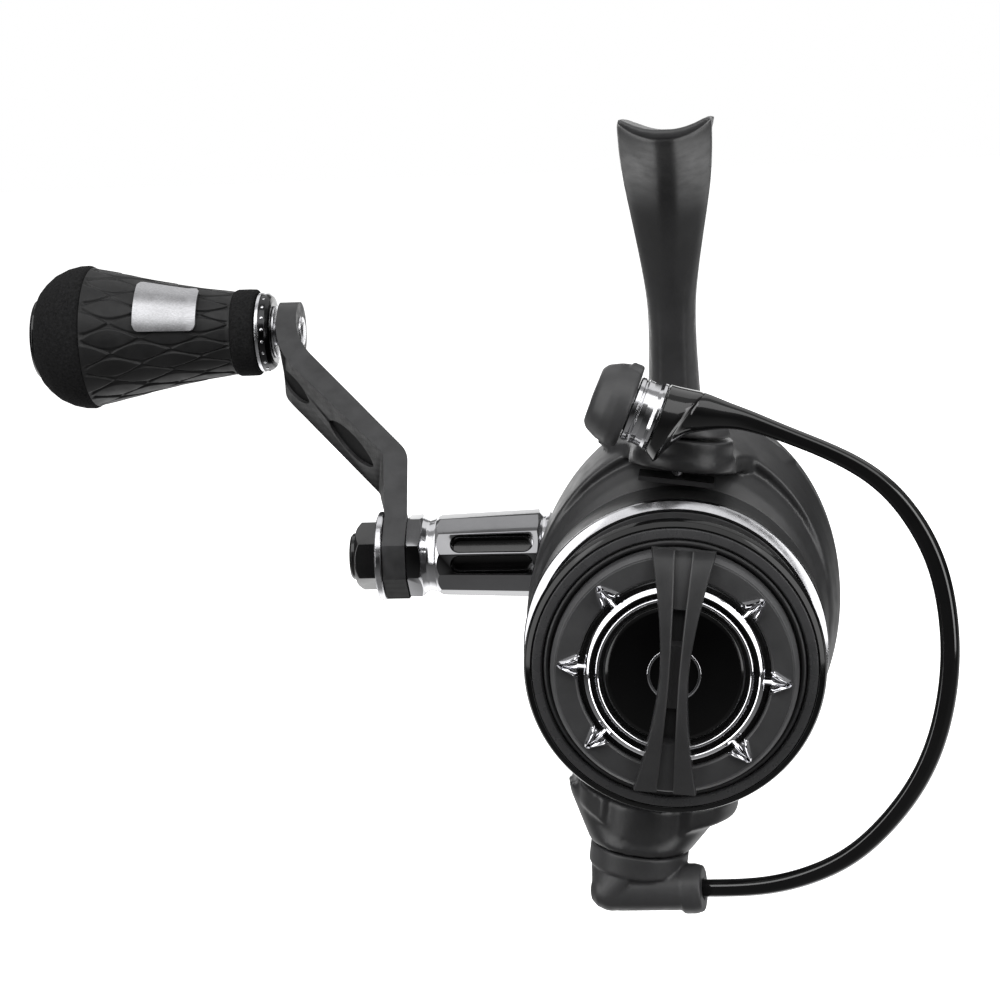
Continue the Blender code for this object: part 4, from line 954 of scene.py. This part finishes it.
# Two halves of the chrome trim, cut away under the bar, each with its spears.
for side, word in ((-1, "left"), (1, "right")):
    bits = []
    for r0, r1, top, low in ((11.6, 12.35, -2.95, -1.6), (10.2, 10.95, -2.95, -1.6)):
        lim = math.degrees(math.asin(2.9 / r1))
        prof = [(r0, low), (r0, top - 0.1), (r0 + 0.12, top - 0.18), (r1 - 0.1, top + 0.12), (r1, top + 0.24), (r1, low)] if r0 > 11 else [(r0, low)] + [((r0 + r1) / 2 - (r1 - r0) / 2 * math.cos(math.radians(a)), top + 0.55 - 0.55 * math.sin(math.radians(a))) for a in range(0, 181, 12)] + [(r1, low)]
        rings = []
        for k in range(73):
            t = math.radians(-90 + lim + (180 - 2 * lim) * k / 72)
            rings.append([(side * r * math.cos(t), a, r * math.sin(t)) for r, a in prof])
        bits.append(loft("trim_arc", rings, DRAG, M_CHROME))
    for deg in (-45, 0, 45):
        t = math.radians(deg)
        for hand in (1, -1):
            base = [(16.15, 0.02), (15.9, 0.5), (13.6, 1.75), (13.0, 1.5), (13.2, 0.85), (14.3, 0.34)]
            ridge = [(15.5, 0.3), (13.75, 1.1)]
            pts = [(r, hand * w, -2.0) for r, w in base] + [(r, hand * w, -2.75) for r, w in base] + [(r, hand * w, -3.5) for r, w in ridge]
            bits.append(hulled("spear_barb", [(side * (r * math.cos(t) - w * math.sin(t)), a, r * math.sin(t) + w * math.cos(t)) for r, w, a in pts], DRAG, M_CHROME))
        pts = [(r, w, a) for r in (12.0, 15.4) for w in (-0.36, 0.36) for a in (-2.0, -2.6)] + [(12.0, 0.0, -2.95), (15.2, 0.0, -2.95)]
        bits.append(hulled("spear_shaft", [(side * (r * math.cos(t) - w * math.sin(t)), a, r * math.sin(t) + w * math.cos(t)) for r, w, a in pts], DRAG, M_CHROME))
    trim = merged("drag_trim_chrome_" + word, bits, M_CHROME)
    put(shade(trim, 30), "drag_knob", "silver", "drag_trim_" + word)

# =====================================================================
# Crank: shank, neck, arm, washer, nut, spindle
# =====================================================================


def oct_ring(x, flats, turn):
    return [(x, p, q) for p, q in polygon(8, flats, turn)]


def dodec_ring(x, flats):
    return [(x, p, q) for p, q in polygon(12, flats, 33.7)]


shank = loft("shank", [dodec_ring(-20.9, 13.95), dodec_ring(-39.7, 12.6)], CRANK, M_SHANK)
env = revolve("cut_env", fillet([(0, -20.6), (6.4, -20.6), (6.1, -21.6), (7.6, -22.7), (7.6, -36.6), (5.85, -39.5), (0, -39.5)], 0.2), CRANK, "X", 96, M_NECK)
boolean(shank, [env], "INTERSECT", transfer=True)


def slot_ring(w, z):
    line = [(-35.0 + w * math.cos(math.radians(a)), w * math.sin(math.radians(a)), z) for a in range(90, 271, 15)]
    return line + [(-24.6 + w * math.cos(math.radians(a)), w * math.sin(math.radians(a)), z) for a in range(-90, 91, 15)]


# Long slots with a narrow bright chamfer, on two faces and on the two opposite ones.
slots, rims = [], []
for turn in (18.7, 48.7, 198.7, 228.7):
    M = CRANK @ R(turn - 90, "X")
    rims.append(loft("cut_rim", [slot_ring(1.2, 5.9), slot_ring(1.45, 6.35), slot_ring(1.8, 7.2), slot_ring(2.0, 8.0)], M, M_SHANK))
    slots.append(loft("cut_slot", [slot_ring(1.15, 3.9), slot_ring(1.25, 8.6)], M, M_GROOVE))
boolean(shank, rims, transfer=True)
boolean(shank, slots, transfer=True)
drop(*rims)
socket = revolve("cut_socket", [(0, -26.4), (2.85, -26.4), (2.85, -20.0), (0, -20.0)], CRANK, "X", 40, M_SHANK)
boolean(shank, [socket], transfer=True)
drop(env, socket, *slots)
shank.name = "handle_shank_bar"
bevel(shank, 0.16, 2, 25)
put(shank, "crank", "dark_chrome", "handle_shank")
# Threaded end of the stud.
thread = [(0, -38.0), (2.9, -38.0), (2.9, -47.9)]
for k in range(10):
    thread += [(2.62, -48.1 - 0.48 * k), (2.9, -48.34 - 0.48 * k)]
thread += [(2.5, -53.1), (0, -53.15)]
stud = revolve("shank_stud_end", thread, CRANK, "X", 48, M_NUT)
put(stud, "crank", "dark_chrome")

flange = loft("shank_neck_flange", [oct_ring(-43.6, 12.8, 21.2), oct_ring(-41.1, 12.8, 21.2)], CRANK, M_SHANK)
env = revolve("cut_env2", fillet([(0, -43.6), (6.75, -43.6), (6.95, -43.35), (6.95, -41.7), (6.1, -41.1), (0, -41.1)], 0.1), CRANK, "X", 96, M_NECK)
boolean(flange, [env], "INTERSECT", transfer=True)
drop(env)
bevel(flange, 0.1, 2, 25)
neck = revolve("shank_neck_waist", [(2.95, -41.4), *fillet([(6.35, -41.4), (5.75, -40.3), (6.15, -39.1), (6.15, -38.5)], 0.6), (2.95, -38.5)], CRANK, "X", 96, M_NECK)
put(flange, "crank", "dark_chrome", "shank_collar")
put(neck, "crank", "silver")
far_neck = revolve("shank_far_neck", [(2.95, -20.5), *fillet([(6.7, -20.5), (6.05, -21.4), (6.55, -22.6), (6.55, -23.2)], 0.5), (2.95, -23.2)], CRANK, "X", 96, M_NECK)
put(far_neck, "crank", "silver")

def bend(a, corner, b, reach, n=14):
    """Points of a wide curve that replaces a corner."""
    a, c, b = Vector(a), Vector(corner), Vector(b)
    p, q = c + (a - c).normalized() * reach, c + (b - c).normalized() * reach
    return [tuple(p.lerp(c, k / n).lerp(c.lerp(q, k / n), k / n)) for k in range(n + 1)]


ARM_IN = fillet([(-43.75, -8.0), (-43.75, 4.0), (-44.5, 16.8), (-55.45, 29.8)], 6.0, 12)[:-1] + bend((-44.5, 16.8), (-66.4, 42.8), (-66.4, 56.0), 5.5) + [(-66.4, 56.0)]
ARM_OUT = [(-69.9, 56.0)] + bend((-69.9, 56.0), (-69.9, 40.7), (-48.7, 16.6), 6.5) + fillet([(-59.3, 28.65), (-48.7, 16.6), (-47.45, 4.0), (-47.45, -8.0)], 2.2, 10)[1:]
arm = prism("handle_arm_bar", ARM_IN + ARM_OUT, -7.5, 7.5, CRANK, M_ARM, "XZ")
end = polygon(8, 13.4, 21.2)
plan = sorted([p for p in end if p[1] < 3.0], key=lambda p: math.atan2(p[1] - 3.0, p[0]))
plan = [(-6.3, 2.6)] + [p for p in plan] + [(6.3, 2.6)]
plan += [(5.2 * math.cos(math.radians(a)), 48.3 + 5.2 * math.sin(math.radians(a))) for a in range(0, 181, 9)]
hull = []
for p in plan:
    if not hull or (Vector(p) - Vector(hull[-1])).length > 0.05:
        hull.append(p)
tool = prism("cut_plan", hull, -80, -40, CRANK, M_ARM, "YZ")
boolean(arm, [tool], "INTERSECT")
drop(tool)
ways = [revolve("cut_stud", [(0, -50.5), (3.05, -50.5), (3.05, -43.5), (0, -43.5)], CRANK, "X", 40, M_ARM),
        revolve("cut_spindle", [(0, -74.0), (2.55, -74.0), (2.55, -68.0), (0, -68.0)], KNOB, "X", 40, M_ARM)]
diag = Vector((-69.9 + 48.7, 0, 40.7 - 16.6)).normalized()
out = Vector((-diag.z, 0, diag.x)).normalized()
if out.x > 0:
    out = -out
for along, reach, wide in ((0.27, 6.4, 3.0), (0.80, 4.8, 2.6)):
    c = Vector((-48.7, 0, 16.6)).lerp(Vector((-69.9, 0, 40.7)), along)
    frame_m = Matrix((( diag.x, 0, out.x, c.x), (diag.y, 1, out.y, c.y), (diag.z, 0, out.z, c.z), (0, 0, 0, 1)))
    lens = [(reach * math.cos(math.radians(a)), wide * math.sin(math.radians(a)) * abs(math.sin(math.radians(a))) ** 0.3) for a in range(0, 360, 12)]
    ways.append(prism("cut_lens", lens, -0.55, 2.0, CRANK @ frame_m, M_ARM))
boolean(arm, ways)
drop(*ways)
bevel(arm, 0.45, 4, 28)
# The strip is set slightly askew between its two ends.
back = CRANK.inverted()
sunk = set()
for p in arm.data.polygons:
    c = back @ (p.center / MM) - Vector((-48.7, 0, 16.6))
    if 1.5 < c.dot(diag) < 31.0 and -0.9 < c.dot(out) < -0.25 and (CRANK.to_3x3().inverted() @ p.normal).dot(out) > 0.7:
        sunk.add(p.index)
for v in arm.data.vertices:
    q = back @ (v.co / MM)
    k = min(1.0, max(0.0, (q.z - 5.5) / 6.5)) * min(1.0, max(0.0, (43.0 - q.z) / 6.0))
    q.x -= 0.17 * k * k * (3 - 2 * k) * (q.y + 6.0)
    v.co = (CRANK @ q) * MM
arm.data.update()
arm.data.materials.clear()
arm.data.materials.append(M_ARM)
arm.data.materials.append(M_CARBON)
arm.data.materials.append(M_SUNK)
inv = CRANK.to_3x3().inverted()
for p in arm.data.polygons:
    nl = inv @ p.normal
    p.material_index = 1 if abs(nl.y) < 0.35 and nl.x < 0.25 and (p.center.x > -0.2) and nl.z < 0.9 else 0
    if p.index in sunk:
        p.material_index = 2
shade(arm, 38)
put(arm, "crank", "arm_metal", "handle_arm")

turned("arm_washer_disc", [(3.05, -47.6), (7.1, -47.6), (7.25, -47.8), (7.25, -48.5), (7.1, -48.7), (3.05, -48.7)], CRANK, "X", M_WASHER, "crank", "silver", ["arm_washer"], 120, 0.08,
       lambda t, r, a: r - (0.05 if r > 6.8 and int(t / (2 * math.pi) * 120) % 2 else 0.0))
nut = prism("arm_nut_hex", polygon(6, 9.8, 13.2), -52.4, -48.85, CRANK, M_NUT, "YZ")
env = revolve("cut_env3", [(0, -48.85), (5.75, -48.85), (5.75, -51.5), (4.7, -52.4), (0, -52.4)], CRANK, "X", 72, M_NUT)
bore = revolve("cut_bore", [(0, -56), (3.0, -56), (3.0, -49), (0, -49)], CRANK, "X", 40, M_NUT)
boolean(nut, [env], "INTERSECT")
boolean(nut, [bore])
drop(env, bore)
put(bevel(nut, 0.14, 3, 25), "crank", "gloss_black", "arm_nut")
turned("nut_lock_ring", [(2.95, -52.2), (3.85, -52.2), (3.85, -53.0), (3.55, -53.35), (2.95, -53.35)], CRANK, "X", M_NUT, "crank", "gloss_black", (), 72, 0.1)

turned("knob_spindle_rod", [(0, -67.9), (1.5, -67.9), (1.7, -68.1), (2.5, -68.15), (2.6, -68.5), (3.3, -68.6), (3.4, -69.3), (2.4, -69.3), (2.4, -112.4), (0, -112.4)],
       KNOB, "X", M_SPINDLE, "crank", "steel", ["knob_spindle"], 64, 0.12)
turned("spindle_shim", [(2.45, -72.75), (4.6, -72.75), (4.6, -73.1), (2.45, -73.1)], KNOB, "X", M_SPINDLE, "crank", "steel", (), 64, 0.05)

# =====================================================================
# Handle knob
# =====================================================================


def dots(t, r, a):
    return r


turned("knob_collar_ring", [(2.6, -73.2), (5.4, -73.2), (6.3, -73.35), (6.75, -73.9), (6.85, -74.5), (6.85, -74.9), (7.0, -75.0), (7.0, -75.7), (2.6, -75.7)], KNOB, "X", M_COLLAR, "handle_knob",
       "dark_chrome", ["knob_collar"], 96, 0.12)
turned("knob_collar_band", [(6.7, -75.02), (7.02, -75.05), (7.05, -75.3), (7.02, -75.6), (6.7, -75.62)], KNOB, "X", M_SPINDLE, "handle_knob", "silver", (), 96, 0.04)
pips = []
for k in range(20):
    c = KNOB @ R(18 * k, "X")
    pips.append(revolve("pip", fillet([(0, 6.55), (0.26, 6.55), (0.26, 6.92), (0, 7.0)], 0.05, 2), c @ T(-74.35, 0, 0), "Z", 12, M_SPINDLE))
put(shade(merged("knob_collar_pips", pips, M_SPINDLE)), "handle_knob", "steel")
turned("knob_foam_band", [(5.6, -75.9), (7.35, -75.9), (7.65, -76.2), (7.7, -77.4), (7.7, -79.4), (7.45, -79.95), (5.6, -79.95)], KNOB, "X", M_FOAM, "handle_knob", "foam", ["knob_foam_ring"], 120, 0.3)
turned("knob_foam_cap", [(5.6, -105.7), (12.5, -105.7), (12.8, -106.3), (12.75, -107.8), (12.3, -109.8), (11.3, -112.0), (10.0, -113.6), (8.8, -114.7), (8.1, -115.0), (7.6, -114.8), (7.6, -114.0), (5.6, -114.0)],
       KNOB, "X", M_FOAM, "handle_knob", "foam", ["knob_foam_dome"], 144, 0.8, None, 6)
turned("knob_end_disc", [(0, -114.1), (7.4, -114.1), (7.4, -115.5), (7.1, -115.95), (6.3, -116.2), (6.0, -116.0), (5.6, -116.0), (5.3, -116.25), (0, -116.3)], KNOB, "X", M_GLOSS, "handle_knob",
       "gloss_black", ["knob_end_cap"], 96, 0.15)

SLEEVE = smooth_line([(7.4, -80.0), (8.3, -86.0), (9.6, -93.0), (11.2, -100.0), (12.4, -105.6)], 48)
ROWS, PITCH, TALL = 26, 10.2, 0.72


def scale_depth(theta, x):
    """How far the surface lies below the tops of the overlapping scales."""
    p = 2 * math.pi / ROWS
    row = math.floor(theta / p)
    best, rise = -1.0, 0.0
    for j in (row - 1, row, row + 1, row + 2):
        off = (j % 2) * PITCH / 2
        k = math.floor((x + 75.0 - off) / PITCH)
        u = ((x + 75.0 - off) / PITCH - k) * 2 - 1
        h = TALL * (1 - abs(u) ** 1.8) - abs(theta - j * p) / p
        if h > best:
            best, rise = h, u
    wall = min(1.0, max(0.0, (best + 0.02) / 0.16))
    wall = wall * wall * (3 - 2 * wall)
    return 0.42 * (1 - wall) + wall * 0.10 * (1 - rise)


n = 520
rings = []
for r, x in SLEEVE:
    fade = min(1.0, (x + 105.6) / 0.7, (-80.0 - x) / 0.7)
    row = []
    for k in range(n):
        t = 2 * math.pi * k / n
        q = r - max(0.0, fade) * scale_depth(t, x)
        row.append((x, q * math.cos(t), q * math.sin(t)))
    rings.append(row)
rings = [[(x, 5.6 * y / math.hypot(y, z), 5.6 * z / math.hypot(y, z)) for x, y, z in rings[0]]] + rings + \
        [[(x, 5.6 * y / math.hypot(y, z), 5.6 * z / math.hypot(y, z)) for x, y, z in rings[-1]]]
sleeve = loft("knob_scale_sleeve", rings, KNOB, M_RUBBER, closed=True, sharp=50)
put(sleeve, "handle_knob", "grip_rubber", "knob_sleeve")


def plate_ring(x, half, out, lift):
    r = 8.62 + (10.93 - 8.62) * ((-87.6 - x) / 11.2) ** 1.08 if x < -87.6 else 8.62
    c = math.radians(180 + 30 + 44.7 - 68)
    ang = [c + math.radians(half * k / 10.0) for k in range(-10, 11)]
    return [(x, (r + lift + out) * math.cos(a), (r + lift + out) * math.sin(a)) for a in ang] + \
           [(x, (r + lift) * math.cos(a), (r + lift) * math.sin(a)) for a in reversed(ang)]


rings = []
for k in range(25):
    x = -85.6 - 10.8 * k / 24
    e = min(k, 24 - k) / 24 * 10.8
    cut = 1.1 - math.sqrt(max(0.0, 1.1 ** 2 - (1.1 - min(1.1, e)) ** 2))
    rings.append(plate_ring(x, 29 - math.degrees(cut / 10.4), 0.45, 0.12))
m = Mat("brushed_plate", 0.24, 1.0)
m.colour(m.noise(900, 4, 0.6, None, (1.0, 14.0, 14.0)), g(0.34), g(0.60))
m.roughness(m.noise(300, 4), 0.28, 0.42)
m.bump(m.noise(2400, 3, 0.6, None, (1.0, 12.0, 12.0)), 0.12, 0.03)
plate = loft("knob_badge_plate", rings, KNOB, m.m, sharp=40)
put(plate, "handle_knob", "silver", "knob_plate")

# =====================================================================
# Carried-over nodes
# =====================================================================
LOOKS = {"steel": M_STEEL, "brass": M_BRASS, "knob_plastic": M_PLASTIC, "body_black": M_BODY, "carbon": M_CARBON_WASHER, "silver": M_CHROME, "dark_chrome": M_NUT,
         "gloss_black": M_GLOSS, "foam": M_FOAM, "grip_rubber": M_RUBBER, "arm_metal": M_ARM}
slot_of = {s["node"]: s["material_slot"] for s in frame["record"]["subparts"]}
for name, o in frame["nodes"].items():
    o.data.materials.clear()
    o.data.materials.append(LOOKS[slot_of[name]])

# =====================================================================
# Studio
# =====================================================================
floor_mat = Mat("pale_floor", 0.9)
speckle = floor_mat.noise(3, 2)
floor_mat.colour(speckle, (0.93, 0.93, 0.93), (0.96, 0.96, 0.96))
floor_mat.link(floor_mat.ramp(speckle, [(0.2, (0.97, 0.97, 0.97)), (0.8, (1.0, 1.0, 1.0))]), floor_mat.b.inputs["Emission Color"])
floor_mat.set(Emission_Strength=1.0)
fl = bpy.data.meshes.new("floor")
fl.from_pydata([(-9, -9, -0.17), (9, -9, -0.17), (9, 9, -0.17), (-9, 9, -0.17)], [], [(0, 1, 2, 3)])
floor = bpy.data.objects.new("floor", fl)
fl.materials.append(floor_mat.m)
SCENE.objects.link(floor)
floor.visible_glossy = False
floor.visible_diffuse = False

# A white surround for the camera, and a dim one, brighter overhead, for the light.
w = bpy.data.worlds.new("studio")
w.use_nodes = True
wt = w.node_tree
dim = wt.nodes["Background"]
plain = wt.nodes.new("ShaderNodeBackground")
plain.inputs["Color"].default_value = (1, 1, 1, 1)
plain.inputs["Strength"].default_value = 1.0
coord = wt.nodes.new("ShaderNodeTexCoord")
split = wt.nodes.new("ShaderNodeSeparateXYZ")
wt.links.new(coord.outputs["Generated"], split.inputs[0])
span = wt.nodes.new("ShaderNodeMapRange")
span.inputs["From Min"].default_value = -1.0
span.inputs["From Max"].default_value = 1.0
wt.links.new(split.outputs[2], span.inputs["Value"])
grade = wt.nodes.new("ShaderNodeValToRGB")
stops = [(0.0, 0.26), (0.30, 0.10), (0.42, 0.012), (0.56, 0.015), (0.75, 0.18), (1.0, 0.40)]
while len(grade.color_ramp.elements) < len(stops):
    grade.color_ramp.elements.new(0.5)
for e, (at, v) in zip(grade.color_ramp.elements, stops):
    e.position = at
    e.color = (v, v, v, 1)
wt.links.new(span.outputs["Result"], grade.inputs["Fac"])
low = wt.nodes.new("ShaderNodeMath")
low.operation = "MULTIPLY"
under = wt.nodes.new("ShaderNodeMath")
under.operation = "MULTIPLY"
under.use_clamp = True
under.inputs[1].default_value = -1.0
behind = wt.nodes.new("ShaderNodeMath")
behind.operation = "MULTIPLY"
behind.use_clamp = True
behind.inputs[1].default_value = 2.0
wt.links.new(split.outputs[2], under.inputs[0])
wt.links.new(split.outputs[1], behind.inputs[0])
wt.links.new(under.outputs[0], low.inputs[0])
wt.links.new(behind.outputs[0], low.inputs[1])
lift = wt.nodes.new("ShaderNodeMath")
lift.operation = "MULTIPLY"
lift.inputs[1].default_value = 2.0
wt.links.new(low.outputs[0], lift.inputs[0])
total = wt.nodes.new("ShaderNodeVectorMath")
total.operation = "ADD"
wt.links.new(grade.outputs["Color"], total.inputs[0])
wt.links.new(lift.outputs[0], total.inputs[1])
wt.links.new(total.outputs[0], dim.inputs["Color"])
dim.inputs["Strength"].default_value = 1.0
ray = wt.nodes.new("ShaderNodeLightPath")
both = wt.nodes.new("ShaderNodeMixShader")
wt.links.new(ray.outputs["Is Camera Ray"], both.inputs[0])
wt.links.new(dim.outputs[0], both.inputs[1])
wt.links.new(plain.outputs[0], both.inputs[2])
wt.links.new(both.outputs[0], wt.nodes["World Output"].inputs["Surface"])
bpy.context.scene.world = w


def area(name, at, aim, size, power):
    d = bpy.data.lights.new(name, "AREA")
    d.shape = "RECTANGLE"
    d.size, d.size_y = size
    d.energy = power
    o = bpy.data.objects.new(name, d)
    o.location = at
    o.rotation_euler = (Vector(aim) - Vector(at)).to_track_quat("-Z", "Y").to_euler()
    o.visible_camera = False
    SCENE.objects.link(o)
    return o


C = (-0.02, -0.02, -0.06)
area("top_front", (-0.05, -0.55, 0.72), C, (1.5, 0.75), 5.8)
area("top_back", (0.0, 0.50, 0.74), C, (1.6, 0.8), 2.8)
area("left", (-0.84, -0.60, 0.20), C, (0.55, 1.1), 6.0)
area("right", (0.84, -0.60, 0.20), C, (0.55, 1.1), 7.0)
area("rear", (-0.15, 1.0, 0.05), C, (0.9, 0.5), 2.0)

# Camera at the photograph's place.
cam = bpy.data.cameras.new("camera")
cam.sensor_width = 36.0
cam.lens = 77.4
cam.clip_start, cam.clip_end = 0.01, 20.0
co = bpy.data.objects.new("camera", cam)
SCENE.objects.link(co)
az, el, roll = math.radians(-5.699), math.radians(9.627), math.radians(2.179)
fwd = Vector((math.sin(az) * math.cos(el), math.cos(az) * math.cos(el), -math.sin(el)))
right = fwd.cross(Vector((0, 0, 1))).normalized()
up = right.cross(fwd).normalized()
c, s = math.cos(roll), math.sin(roll)
r2, u2 = right * c - up * s, right * s + up * c
co.matrix_world = Matrix((
    (r2.x, u2.x, -fwd.x, 0.005607), (r2.y, u2.y, -fwd.y, -0.336285), (r2.z, u2.z, -fwd.z, 0.000092), (0, 0, 0, 1)))
bpy.context.scene.camera = co
bpy.context.scene.view_settings.view_transform = "Standard"
